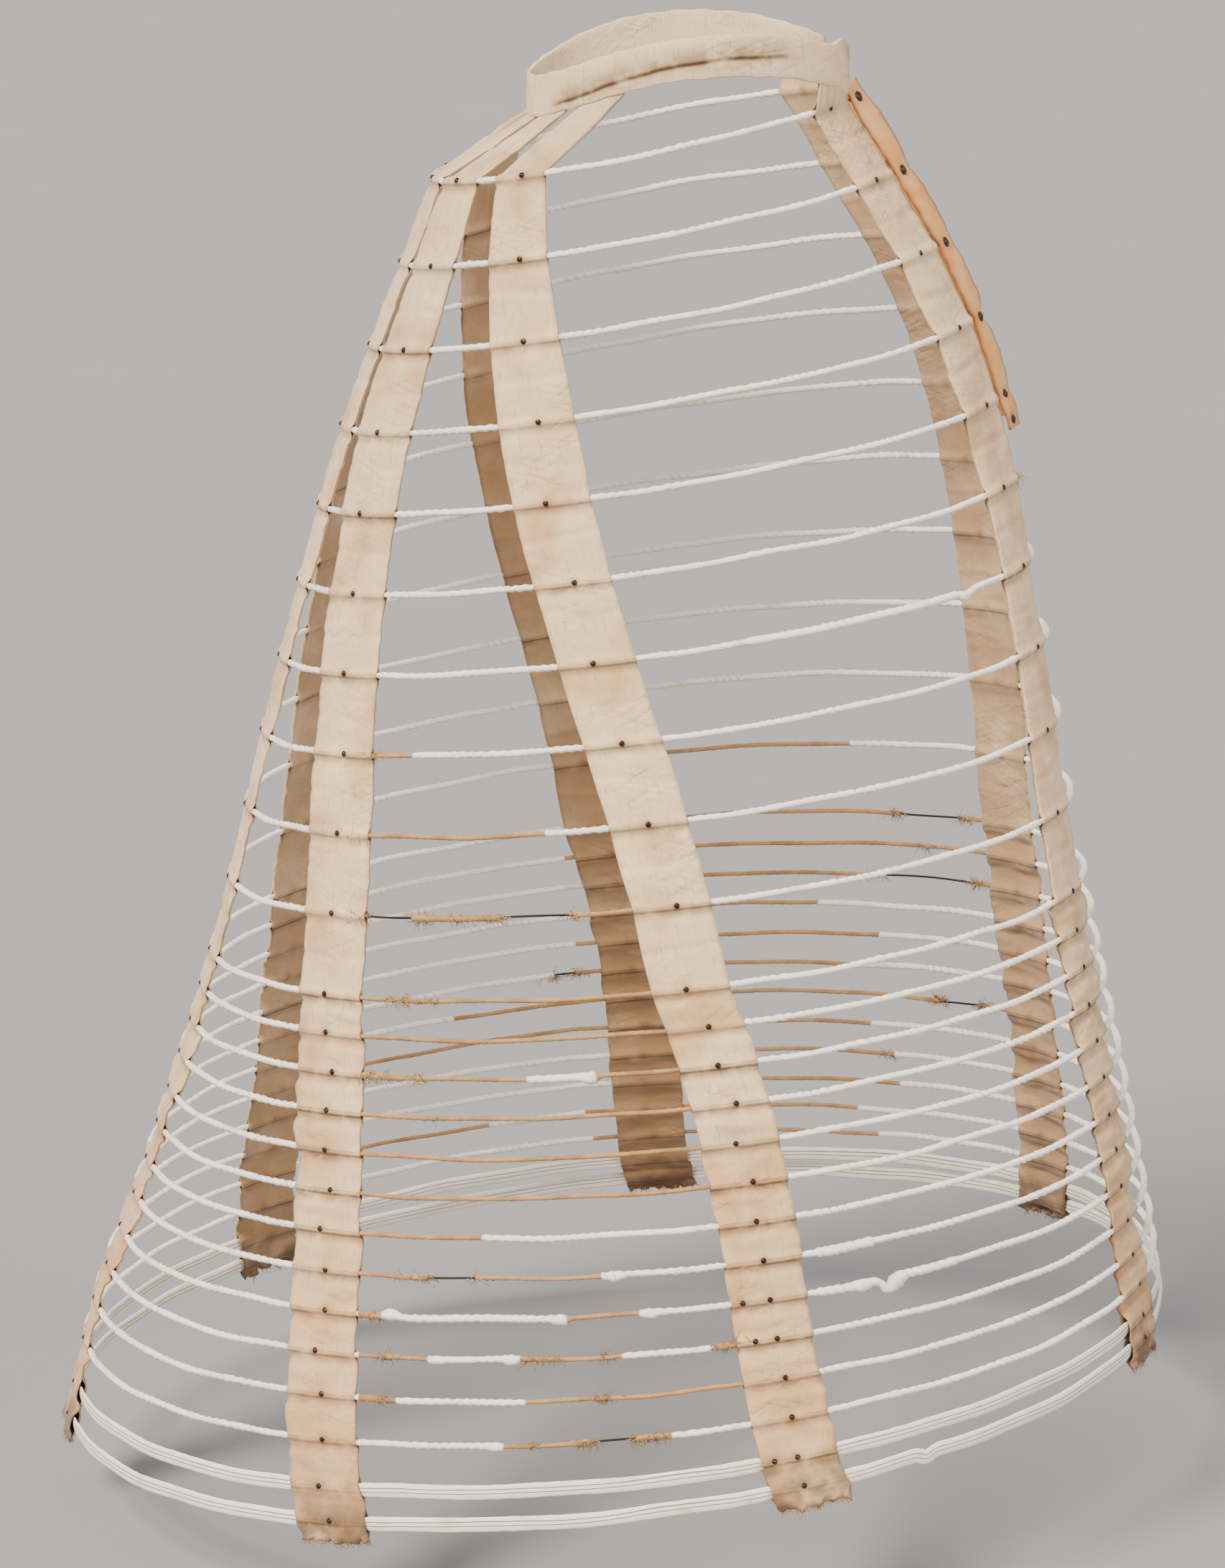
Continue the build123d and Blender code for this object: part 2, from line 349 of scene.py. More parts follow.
def triangles(counted):
    """How many triangles some pieces have together."""
    for piece in counted:
        piece.data.calc_loop_triangles()
    return sum(len(piece.data.loop_triangles) for piece in counted)


print("small sizes below are given in steps of", MILLIMETRE, "m")

# %% [markdown]
# ## Finishes
#
# Everything here is old cotton, leather and dark metal. Each finish is a small shading tree on the
# piece's own coordinates. The hoops carry values along their length: where they are wound, where the
# wire is bare, where each turn of the winding lies and how plainly it shows. So one finish can show
# white winding, the tan braid under it and the wire under that.
#
# Most of a finish is one colour laid over another in soft patches, so two helpers do only that:
# `patches` makes the places and `tinted` lays the colour on.

# %% Shading helpers
DULL_SPECULAR = 0.25


def finish_tree(name, roughness, sheen=0.0):
    """A new material with its evenly set values, its tree and its shader."""
    made = bpy.data.materials.new(name)
    made.use_nodes = True
    tree = made.node_tree
    shader = tree.nodes["Principled BSDF"]
    shader.inputs["Roughness"].default_value = roughness
    shader.inputs["Sheen Weight"].default_value = sheen
    shader.inputs["Specular IOR Level"].default_value = DULL_SPECULAR
    return made, tree, shader


def value_of(tree, name):
    """A value that rides on a mesh, read in a shading tree."""
    return node(tree, "ShaderNodeAttribute", attribute_name=name, attribute_type="GEOMETRY").outputs["Fac"]


def mixed(tree, factor, first, second):
    """One colour over another by a factor."""
    made = node(tree, "ShaderNodeMix", {0: factor}, data_type="RGBA")
    for socket, colour in ((made.inputs[6], first), (made.inputs[7], second)):
        if isinstance(colour, bpy.types.NodeSocket):
            tree.links.new(colour, socket)
        else:
            socket.default_value = (*colour, 1.0)
    return made.outputs[2]


def tinted(tree, colour, tint, factor, share):
    """A colour with a share of a tint over it, where the factor asks for it."""
    return mixed(tree, maths(tree, "MULTIPLY", factor, share), colour, tint)


def noise(tree, scale, detail=3.0, vector=None):
    """A cloudy value round 0.5 on the piece's own coordinates."""
    if vector is None:
        vector = node(tree, "ShaderNodeTexCoord").outputs["Object"]
    sources = {"Vector": vector, "Scale": scale, "Detail": detail}
    return node(tree, "ShaderNodeTexNoise", sources).outputs["Fac"]


def drawn_out(tree, scales, detail, turn=0.0):
    """A cloudy value drawn out over the cloth by its scales across and down, after a turn."""
    cloth = node(tree, "ShaderNodeTexCoord").outputs["UV"]
    turned = node(tree, "ShaderNodeMapping", {"Vector": cloth, "Rotation": (0.0, 0.0, turn)}).outputs[0]
    scaled = node(tree, "ShaderNodeMapping", {"Vector": turned, "Scale": (*scales, 1.0)}).outputs[0]
    return noise(tree, 1.0, detail, scaled)


def ramped(tree, value, low, high):
    """The value stretched so that low becomes 0 and high becomes 1."""
    sources = {"Value": value, "From Min": low, "From Max": high}
    return node(tree, "ShaderNodeMapRange", sources, interpolation_type="SMOOTHSTEP").outputs[0]


def patches(tree, scale, detail, low, high):
    """Soft patches: a cloudy value of one scale and detail, stretched between two limits."""
    return ramped(tree, noise(tree, scale, detail), low, high)


def close_to(tree, value, place, reach):
    """1 where a value is at a place, falling to 0 at a reach from it."""
    return ramped(tree, maths(tree, "ABSOLUTE", maths(tree, "SUBTRACT", value, place)), reach, 0.0)


def bumped(tree, shader, height, distance, strength):
    """Gives a finish fine relief."""
    bump = node(tree, "ShaderNodeBump", {"Height": height, "Distance": distance, "Strength": strength})
    tree.links.new(bump.outputs[0], shader.inputs["Normal"])


print("every finish is dull, with a specular level of", DULL_SPECULAR)

# %% Wound cotton, braid and wire on the hoops
WHITE_COTTON, SOIL_AND_SHADE_COTTON = (0.90, 0.81, 0.70), (0.52, 0.40, 0.27)
BRAID_TAN, BRAID_DARK = (0.47, 0.25, 0.095), (0.12, 0.05, 0.018)
WIRE_DARK = (0.022, 0.013, 0.008)
COVER_ROUGHNESS, COVER_SHEEN, COVER_RELIEF = 0.85, 0.15, (0.7 * MILLIMETRE, 0.8)
COTTON_SOIL, BRAID_WEAR = (38.0, 4.0, 0.56, 0.78), (60.0, 4.0, 0.42, 0.66)
SOIL_SHARE, GROOVE_SHARE, FOLD_SHARE, FLECK_SHARE, WEAR_SHARE = 0.5, 0.6, 0.6, 0.75, 0.35
GROOVE_START, FLECK_RANGE = 0.72, (0.45, 0.95)
FUZZ_SCALE, FUZZ_HEIGHT = 900.0, 0.8
HEM_FOLDS, FOLD_REACH, FOLD_DEPTH = (0.3, -0.45), 0.16, 2.0
DRIFT_NOISE, DRIFT_RANGE = (9.0, 2.0), 0.9


def winding_lap(tree):
    """How far on in its turn the winding is, from 0 to 1; less where the turns show less."""
    phase = maths(tree, "ARCTAN2", value_of(tree, "winding"), value_of(tree, "winding_ahead"))
    lap = maths(tree, "ADD", maths(tree, "DIVIDE", phase, 2 * math.pi), 0.5)
    return maths(tree, "MULTIPLY", lap, value_of(tree, "turns_shown"))


def hoop_finish(name, folds=()):
    """Wound cotton over braid over wire, with painted shade at the steps of the winding and along
    lengthwise folds at shares of the hoop's half height.
    """
    made, tree, shader = finish_tree(name, COVER_ROUGHNESS, COVER_SHEEN)
    lap = winding_lap(tree)
    white = tinted(tree, WHITE_COTTON, SOIL_AND_SHADE_COTTON, patches(tree, *COTTON_SOIL), SOIL_SHARE)
    # painted shade: the white darkens at the step where each turn of the winding laps over the last
    white = tinted(tree, white, SOIL_AND_SHADE_COTTON, ramped(tree, lap, GROOVE_START, 1.0), GROOVE_SHARE)
    threads = maths(tree, "ADD", lap, maths(tree, "MULTIPLY", noise(tree, FUZZ_SCALE), FUZZ_HEIGHT))
    for level in folds:
        drift = maths(tree, "SUBTRACT", noise(tree, *DRIFT_NOISE), 0.5)
        drift = maths(tree, "MULTIPLY", drift, DRIFT_RANGE)
        rise = maths(tree, "SUBTRACT", value_of(tree, "rise"), drift)
        # painted shade: each lengthwise fold of the hem bands is darkened along its line, as well as dented
        fold = close_to(tree, rise, level, FOLD_REACH)
        white = tinted(tree, white, SOIL_AND_SHADE_COTTON, fold, FOLD_SHARE)
        threads = maths(tree, "SUBTRACT", threads, maths(tree, "MULTIPLY", fold, FOLD_DEPTH))
    flecks = ramped(tree, value_of(tree, "braid"), *FLECK_RANGE)
    tan = tinted(tree, BRAID_TAN, BRAID_DARK, flecks, FLECK_SHARE)
    tan = tinted(tree, tan, BRAID_DARK, patches(tree, *BRAID_WEAR), WEAR_SHARE)
    covered = mixed(tree, value_of(tree, "wound"), tan, white)
    tree.links.new(mixed(tree, value_of(tree, "wire"), covered, WIRE_DARK), shader.inputs["Base Color"])
    bumped(tree, shader, threads, *COVER_RELIEF)
    return made


hoop_cover, hem_cover = hoop_finish("hoop_cover"), hoop_finish("hem_cover", HEM_FOLDS)
print("finishes made:", hoop_cover.name, hem_cover.name)

# %% [markdown]
# The tapes' cotton is cream where it is clean and tan where it is worn, browner towards the hem. It has
# slubs along both ways of its threads. The sheets bring values of their own: how far each point is
# below a hoop, how strong the dark line there is, partly stain and partly painted shadow, where rust and
# soil lie, and which layer faces into the cage, whose cotton is painted darker as shade.

# %% Colour of the woven cotton
TAPE_CREAM, TAPE_TAN, TAPE_BROWN = (0.92, 0.65, 0.37), (0.70, 0.41, 0.19), (0.20, 0.09, 0.03)
INSIDE_SHADE_BROWN, SOIL_AND_SHADOW_DARK = (0.42, 0.23, 0.10), (0.09, 0.038, 0.012)
FLECK_GREY = (0.33, 0.29, 0.19)
KNEE_LEVEL, HEM_LEVEL, HEM_TAN_SHARE = -0.50, -0.95, 0.7
TAN_BLOTCHES = (22.0, 5.0, 0.42, 0.75)
WARP_SLUBS, WARP_SLUB_RANGE, WARP_SLUB_SHARE = ((1000.0, 80.0), 3.0), (0.56, 0.70), 0.5
WEFT_SLUBS, WEFT_SLUB_RANGE, WEFT_SLUB_SHARE = ((30.0, 900.0), 2.0), (0.55, 0.75), 0.22
MARK_PITCH, MARK_WIDTH, MARK_SHARE = 13 * MILLIMETRE, 0.2, 0.5
MARK_BREAKS, MARK_BREAK_RANGE = ((90.0, 70.0), 3.0), (0.46, 0.66)


def axes(tree, output):
    """The three coordinates of a piece's own texture space."""
    place = node(tree, "ShaderNodeTexCoord").outputs[output]
    return node(tree, "ShaderNodeSeparateXYZ", {0: place}).outputs


def woven_colour(tree, cream, tan):
    """Cream with tan blotches, more of them towards the hem, with slubs and broken marks along the warp."""
    lower = ramped(tree, axes(tree, "Object")[2], KNEE_LEVEL, HEM_LEVEL)
    blotch = maths(tree, "ADD", patches(tree, *TAN_BLOTCHES), maths(tree, "MULTIPLY", lower, HEM_TAN_SHARE))
    colour = mixed(tree, maths(tree, "MINIMUM", blotch, 1.0), cream, tan)
    warp_slubs = ramped(tree, drawn_out(tree, *WARP_SLUBS), *WARP_SLUB_RANGE)
    colour = tinted(tree, colour, FLECK_GREY, warp_slubs, WARP_SLUB_SHARE)
    weft_slubs = ramped(tree, drawn_out(tree, *WEFT_SLUBS), *WEFT_SLUB_RANGE)
    colour = tinted(tree, colour, tan, weft_slubs, WEFT_SLUB_SHARE)
    stripes = maths(tree, "SINE", maths(tree, "MULTIPLY", axes(tree, "UV")[0], math.pi / MARK_PITCH))
    broken = ramped(tree, drawn_out(tree, *MARK_BREAKS), *MARK_BREAK_RANGE)
    marks = maths(tree, "MULTIPLY", close_to(tree, stripes, 0.0, MARK_WIDTH), broken)
    return tinted(tree, colour, FLECK_GREY, marks, MARK_SHARE)


print("the cotton grows browner between", KNEE_LEVEL, "and", HEM_LEVEL, "m")

# %% Stains and relief of the woven cotton
STAIN_AND_SHADOW_OFFSET, STAIN_AND_SHADOW_REACH = 2.6 * MILLIMETRE, 1.5 * MILLIMETRE
SHADE_OFFSET, SHADE_REACH = 4.0 * MILLIMETRE, 7.0 * MILLIMETRE
INSIDE_SHADE_PATCHES, STAIN_PATCHES = (16.0, 4.0, 0.1, 0.6), (90.0, 3.0, 0.2, 0.6)
SOIL_PATCHES, CREASED_PATCHES = (45.0, 4.0, 0.15, 0.65), (26.0, 2.0, 0.40, 0.65)
INSIDE_SHADE_SHARE, RUST_SHARE, SHADE_SHARE, HEM_SOIL_SHARE = 0.8, 0.75, 0.6, 0.9
THREAD_PITCH, THREAD_HEIGHT, NAP = 0.9 * MILLIMETRE, 0.35, (320.0, 4.0)
RIPPLES, RIPPLE_TURNS, RIPPLE_WIDTH, RIPPLE_HEIGHT = ((22.0, 95.0), 2.0), (0.45, -0.35), 0.12, 1.6
WEAVE_ROUGHNESS, WEAVE_SHEEN, WEAVE_RELIEF = 0.9, 0.2, (0.4 * MILLIMETRE, 0.8)


def stains_and_painted_shade(tree, colour):
    """The colour under rust at rivets, soil, and painted shade: on the inner layer, in a band under each
    hoop, and in a line there that is partly stain.
    """
    # painted shade: the inner layer of every tape, which faces into the cage, is tinted darker brown in
    # patches
    inside = maths(tree, "MULTIPLY", value_of(tree, "inside"), patches(tree, *INSIDE_SHADE_PATCHES))
    colour = tinted(tree, colour, INSIDE_SHADE_BROWN, inside, INSIDE_SHADE_SHARE)
    uneven = patches(tree, *STAIN_PATCHES)
    rust = maths(tree, "MULTIPLY", value_of(tree, "stain"), uneven)
    colour = tinted(tree, colour, TAPE_BROWN, rust, RUST_SHARE)
    below, strength = value_of(tree, "below_hoop"), value_of(tree, "line")
    # painted shade: a soft brown band below each hoop, where the cloth turns in under the hoop
    shade = maths(tree, "MULTIPLY", close_to(tree, below, SHADE_OFFSET, SHADE_REACH), strength)
    colour = tinted(tree, colour, TAPE_BROWN, maths(tree, "MULTIPLY", shade, uneven), SHADE_SHARE)
    # partly stain and partly painted shadow: a thin dark line just below each hoop, where its ridge shades
    # the cloth
    line = maths(tree, "MULTIPLY", close_to(tree, below, STAIN_AND_SHADOW_OFFSET, STAIN_AND_SHADOW_REACH), strength)
    half_even = maths(tree, "ADD", maths(tree, "MULTIPLY", uneven, 0.5), 0.5)
    colour = mixed(tree, maths(tree, "MULTIPLY", line, half_even), colour, SOIL_AND_SHADOW_DARK)
    soil = maths(tree, "MULTIPLY", value_of(tree, "soil"), patches(tree, *SOIL_PATCHES))
    return tinted(tree, colour, SOIL_AND_SHADOW_DARK, soil, HEM_SOIL_SHARE)


def woven_height(tree):
    """The weave with its nap and, in patches, fine slanting creases."""
    ways, thread_turns = axes(tree, "UV"), 2 * math.pi / THREAD_PITCH
    warp = maths(tree, "SINE", maths(tree, "MULTIPLY", ways[0], thread_turns))
    weft = maths(tree, "SINE", maths(tree, "MULTIPLY", ways[1], thread_turns))
    weave = maths(tree, "MULTIPLY", maths(tree, "MULTIPLY", warp, weft), THREAD_HEIGHT)
    height = maths(tree, "ADD", weave, noise(tree, *NAP))
    creased = maths(tree, "MULTIPLY", patches(tree, *CREASED_PATCHES), RIPPLE_HEIGHT)
    for turn in RIPPLE_TURNS:
        ripple = maths(tree, "SUBTRACT", drawn_out(tree, *RIPPLES, turn), 0.5)
        valley = ramped(tree, maths(tree, "ABSOLUTE", ripple), 0.0, RIPPLE_WIDTH)
        height = maths(tree, "ADD", height, maths(tree, "MULTIPLY", valley, creased))
    return height


def tape_finish(name, cream, tan):
    """Old woven cotton of two colours, with its stains and its relief."""
    made, tree, shader = finish_tree(name, WEAVE_ROUGHNESS, WEAVE_SHEEN)
    tree.links.new(stains_and_painted_shade(tree, woven_colour(tree, cream, tan)), shader.inputs["Base Color"])
    bumped(tree, shader, woven_height(tree), *WEAVE_RELIEF)
    return made


BAND_CREAM, BAND_TAN = (0.90, 0.66, 0.39), (0.76, 0.51, 0.28)
tape_cotton = tape_finish("tape_cotton", TAPE_CREAM, TAPE_TAN)
band_cotton = tape_finish("band_cotton", BAND_CREAM, BAND_TAN)
print("finishes made:", tape_cotton.name, band_cotton.name)

# %% Leather and dark metal
LEATHER_ORANGE, LEATHER_RED, LEATHER_WORN = (0.78, 0.33, 0.09), (0.26, 0.07, 0.02), (0.80, 0.45, 0.18)
LEATHER_WEAR, RIM_SHARE = (40.0, 5.0, 0.35, 0.70), 0.7
PORE_SCALE, PORE_WIDTH, GRAIN = 900.0, 0.08, (150.0, 4.0)
LEATHER_ROUGHNESS, LEATHER_RELIEF = 0.6, (0.3 * MILLIMETRE, 0.6)
RIVET_DARK, RIVET_RUST = (0.035, 0.02, 0.014), (0.12, 0.05, 0.02)
STUD_DARK, STUD_RUST = (0.05, 0.032, 0.024), (0.10, 0.05, 0.025)
RUST_SPOTS, DULL_SPOTS, PITTED_SCALE = (420.0, 4.0, 0.48, 0.68), (700.0, 2.0, 0.1, 1.3), 1400.0
METAL_ROUGHNESS, METAL_SHARE, METAL_RELIEF = 0.5, 0.6, (0.15 * MILLIMETRE, 0.5)


def leather_finish():
    """Thin orange leather, worn pale in patches and red along its rim and round the studs."""
    made, tree, shader = finish_tree("facing_leather", LEATHER_ROUGHNESS)
    colour = mixed(tree, patches(tree, *LEATHER_WEAR), LEATHER_ORANGE, LEATHER_WORN)
    colour = tinted(tree, colour, LEATHER_RED, value_of(tree, "rim"), RIM_SHARE)
    tree.links.new(colour, shader.inputs["Base Color"])
    sources = {"Vector": node(tree, "ShaderNodeTexCoord").outputs["Object"], "Scale": PORE_SCALE}
    pores = node(tree, "ShaderNodeTexVoronoi", sources, feature="DISTANCE_TO_EDGE").outputs["Distance"]
    grain = maths(tree, "ADD", ramped(tree, pores, 0.0, PORE_WIDTH), noise(tree, *GRAIN))
    bumped(tree, shader, grain, *LEATHER_RELIEF)
    return made


def metal_finish(name, dark, rust):
    """Dark pitted metal with spots of rust."""
    made, tree, shader = finish_tree(name, METAL_ROUGHNESS)
    shader.inputs["Metallic"].default_value = METAL_SHARE
    tree.links.new(mixed(tree, patches(tree, *RUST_SPOTS), dark, rust), shader.inputs["Base Color"])
    tree.links.new(patches(tree, *DULL_SPOTS), shader.inputs["Roughness"])
    bumped(tree, shader, noise(tree, PITTED_SCALE), *METAL_RELIEF)
    return made


facing_leather = leather_finish()
rivet_metal = metal_finish("rivet_metal", RIVET_DARK, RIVET_RUST)
stud_metal = metal_finish("stud_metal", STUD_DARK, STUD_RUST)
print("finishes made:", facing_leather.name, rivet_metal.name, stud_metal.name)

# %% [markdown]
# ## The hoops
#
# On the real cage each hoop is flat spring steel in a braided tan cotton cover, and most of it was later
# wound round with strips of white cotton. Long stretches have lost that winding, and in a few gaps the
# cover is gone too and only the dark wire is left. The last two hoops are wide flat hem bands.
#
# A tube along a curve is the natural form, so a geometry tree sweeps a small oval along each hoop's
# line. Values ride on the line: how thick the cover is, how high the turns of the winding stand, how
# plainly they show and what covers the hoop there. The stretches are listed by the photograph's
# columns, for the near side and for the far side. Knots, sleeves and sags have a size in millimetres.

# %% Bare and broken stretches, by columns of the photograph
NEAR_STRETCHES = {
    8: ((488, 575, "bare"),),
    9: ((488, 760, "bare"),),
    10: ((488, 575, "wire"), (575, 698, "bare"), (698, 798, "wire"), (798, 885, "bare")),
    11: ((488, 910, "bare"),),
    12: ((490, 930, "bare"),),
    13: ((490, 735, "bare"), (830, 950, "bare")),
    14: ((495, 965, "bare"),),
    15: ((495, 985, "bare"),),
    16: ((495, 1005, "bare"),),
    17: ((500, 670, "bare"),),
    18: ((500, 597, "bare"), (597, 662, "wire"), (662, 838, "bare")),
    19: ((500, 535, "bare"), (790, 890, "bare")),
    20: ((500, 597, "bare"), (725, 868, "bare"), (990, 1060, "bare")),
    21: ((500, 552, "bare"), (733, 1085, "bare")),
    22: ((703, 828, "bare"), (828, 885, "wire"), (885, 935, "bare"), (1062, 1095, "bare")),
}
FAR_STRETCHES = {
    10: ((890, 1185, "bare"),),
    11: ((835, 1250, "bare"), (1250, 1345, "wire"), (1345, 1380, "bare")),
    12: ((785, 1385, "bare"),),
    13: ((820, 1220, "bare"), (1220, 1360, "wire"), (1360, 1395, "bare")),
    14: ((925, 1140, "bare"),),
    15: ((800, 1225, "bare"),),
    16: ((770, 800, "wire"), (800, 1190, "bare")),
    17: ((632, 1310, "bare"), (1310, 1372, "wire"), (1372, 1430, "bare")),
    18: ((415, 1215, "bare"),),
    19: ((880, 1245, "bare"),),
    20: ((985, 1255, "bare"),),
    21: ((420, 680, "bare"), (815, 1195, "bare")),
    22: ((825, 1225, "bare"),),
}
KNOTS = (
    (7, 1340, 1.3), (13, 824, 2.2), (18, 856, 1.5), (19, 545, 2.0), (19, 783, 1.6), (19, 905, 1.4),
    (19, 1200, 1.4), (19, 1248, 2.4), (20, 610, 0.8), (20, 712, 1.5), (22, 692, 1.0), (24, 1290, 2.0),
)
SLEEVES = (
    (7, 1040, 1330, 0.7), (13, 740, 815, 0.5), (18, 1138, 1215, 1.2), (19, 1140, 1330, 0.8),
    (19, 560, 780, 0.4), (10, 575, 698, 0.7), (13, 490, 560, 0.7), (18, 560, 597, 0.5),
    (19, 500, 535, 0.9), (20, 1000, 1045, 0.8), (21, 500, 540, 0.8), (22, 795, 828, 0.6),
    (22, 885, 935, 0.6),
)
SAGS = ((19, 1236, 7.0, 5.5), (7, 1345, 2.5, 8.0), (19, 545, -3.0, 6.0), (24, 1290, 2.0, 6.0))
print(sum(len(stretches) for stretches in NEAR_STRETCHES.values()), "near stretches,", len(KNOTS), "knots")

# %% Places along a hoop
LINE_STEP, FINE_POINTS = 1.5 * MILLIMETRE, 4001
FACED_HOOPS, FACING_WIDTH = 5, 20 * MILLIMETRE
EDGE_CLEARANCE, EDGE_TAPER = 1 * MILLIMETRE, 2 * MILLIMETRE
WANDER_SIZES = (0.5, 1.0)


def wander(rng, places, wavelengths, cycle=None):
    """A gentle random wave along a line, about 1 high at most; it closes on itself over a cycle."""
    total = np.zeros_like(places)
    for wavelength in wavelengths:
        if cycle:
            wavelength = cycle / max(1, round(cycle / wavelength))
        size, phase = rng.uniform(*WANDER_SIZES), rng.uniform(0, 2 * math.pi)
        total += size * np.sin(2 * math.pi * places / wavelength + phase)
    return total / len(wavelengths)


def run_along(points):
    """The length along a row of points up to each of them."""
    return np.concatenate(([0.0], np.linalg.norm(np.diff(points, axis=0), axis=1).cumsum()))


def hoop_angles(number):
    """Angles along a hoop, evenly spaced by length, the length up to each, and the whole length."""
    oval = ovals[number]
    first, last = BACK_DEGREES, BACK_DEGREES + 360
    if number <= OPEN_HOOPS:
        reach = tape_width_at(number) / 2 + EDGE_CLEARANCE
        reach += FACING_WIDTH if number <= FACED_HOOPS else 0
        first = tape_angle("front_left", number)
        first -= math.degrees(reach / oval.speed(first))
        last = 360 - first
    fine = np.linspace(first, last, FINE_POINTS)
    run = run_along(oval.point(fine))
    places = np.linspace(0, run[-1], round(run[-1] / LINE_STEP) + 1)
    if number > OPEN_HOOPS:
        places = places[:-1]
    return np.interp(places, run, fine), places, run[-1]


def tape_nearness(number, angles):
    """How far each place of a hoop is from the edge of the nearest tape; below zero under a tape."""
    best = np.full(len(angles), np.inf)
    for tape in TAPES:
        middle = tape_angle(tape, number)
        away = np.radians((angles - middle + 180) % 360 - 180) * ovals[number].speed(middle)
        best = np.minimum(best, np.abs(away) - tape_width_at(number) / 2)
    return best


print(f"the hem measures {hoop_angles(HOOP_COUNT)[2]:.3f} m round")


# %% What covers a hoop
def front_edge(number):
    """Degrees from the back to the edge of the front tapes, past which an open hoop isn't wound."""
    middle = tape_angle("front_right", number)
    reach = tape_width_at(number) / 2 - EDGE_TAPER
    return middle - BACK_DEGREES + math.degrees(reach / ovals[number].speed(middle))


def covering(number, angles):
    """Where a hoop is wound and where its wire is bare, as 0 or 1 along it."""
    wound, wire = np.ones(len(angles)), np.zeros(len(angles))
    for side, table in (("near", NEAR_STRETCHES), ("far", FAR_STRETCHES)):
        for start, end, kind in table.get(number, ()):
            first, last = sorted((angle_at(number, start, side), angle_at(number, end, side)))
            inside = (angles >= first) & (angles <= last)
            wound[inside] = 0
            wire[inside] = kind == "wire"
    if number <= OPEN_HOOPS:
        wound[np.abs(angles - BACK_DEGREES) > front_edge(number)] = 0
    return wound, wire


knee_wound = covering(KNEE_HOOP, hoop_angles(KNEE_HOOP)[0])[0]
print(f"hoop {KNEE_HOOP} has kept {knee_wound.mean():.0%} of its winding")

# %% The wandering course of a hoop
FREE_REACH = 30 * MILLIMETRE
HEIGHT_WANDER, HEIGHT_WAVES = 1.3 * MILLIMETRE, (0.31, 0.17, 0.09)
DEPTH_WANDER, DEPTH_WAVES = 1.0 * MILLIMETRE, (0.27, 0.13, 0.08)


def course(rng, number, angles, places, clear, cycle):
    """Points of a hoop, which strays a little from its oval where no tape holds it."""
    points = ovals[number].point(angles)
    if number <= OPEN_HOOPS:
        for tape, sign in (("front_left", -1), ("front_right", 1)):
            middle = tape_angle(tape, number)
            past = np.radians(angles - middle) * ovals[number].speed(middle)
            points[past * sign > 0] = beside_tape(tape, number, past[past * sign > 0])
    eased = np.clip(clear / FREE_REACH, 0, 1)
    free = eased ** 2 * (3 - 2 * eased)
    points[:, 2] += HEIGHT_WANDER * free * wander(rng, places, HEIGHT_WAVES, cycle)
    outward = points - np.array((ovals[number].centre, 0, 0))
    outward[:, 2] = 0
    stray = DEPTH_WANDER * free * wander(rng, places, DEPTH_WAVES, cycle)
    return points + unit(outward) * stray[:, None]


def hump(number, angles, column, reach):
    """A smooth hump, 1 high, on a hoop's near side at a column of the photograph."""
    away = np.radians(angles - angle_at(number, column, "near")) * ovals[number].speed(NEAR_SIDE_DEGREES)
    return np.exp(-((away / reach) ** 2))


print("hoops stray by about", HEIGHT_WANDER, "m up and down between the tapes")

# %% The line of a hoop
WOUND_RADIUS, BARE_RADIUS, WIRE_RADIUS = 2.25 * MILLIMETRE, 1.6 * MILLIMETRE, 0.8 * MILLIMETRE
IN_TAPE_RADIUS = 1.7 * MILLIMETRE
WOUND_RIDGE, BARE_RIDGE = 0.42 * MILLIMETRE, 0.12 * MILLIMETRE
WOUND_LUMP, BARE_LUMP, HEM_LUMP_SHARE = 0.34 * MILLIMETRE, 0.12 * MILLIMETRE, 0.04
LUMP_WAVES, SHOWN_WAVES = (0.047, 0.023, 0.013), (0.19, 0.083, 0.041)
MEAN_SHOWN, SHOWN_RANGE, LEAST_SHOWN, HEM_SHOWN_SHARE = 0.65, 0.8, 0.2, 0.3
HEM_HALF_HEIGHT, HEM_THICKNESS_SHARE, HEM_IN_TAPE_SHARE = 5.2 * MILLIMETRE, 0.22, 0.15
KNOT_REACH, KNOT_DROP_SHARE = 5 * MILLIMETRE, 0.6
HOOP_SEED = 100


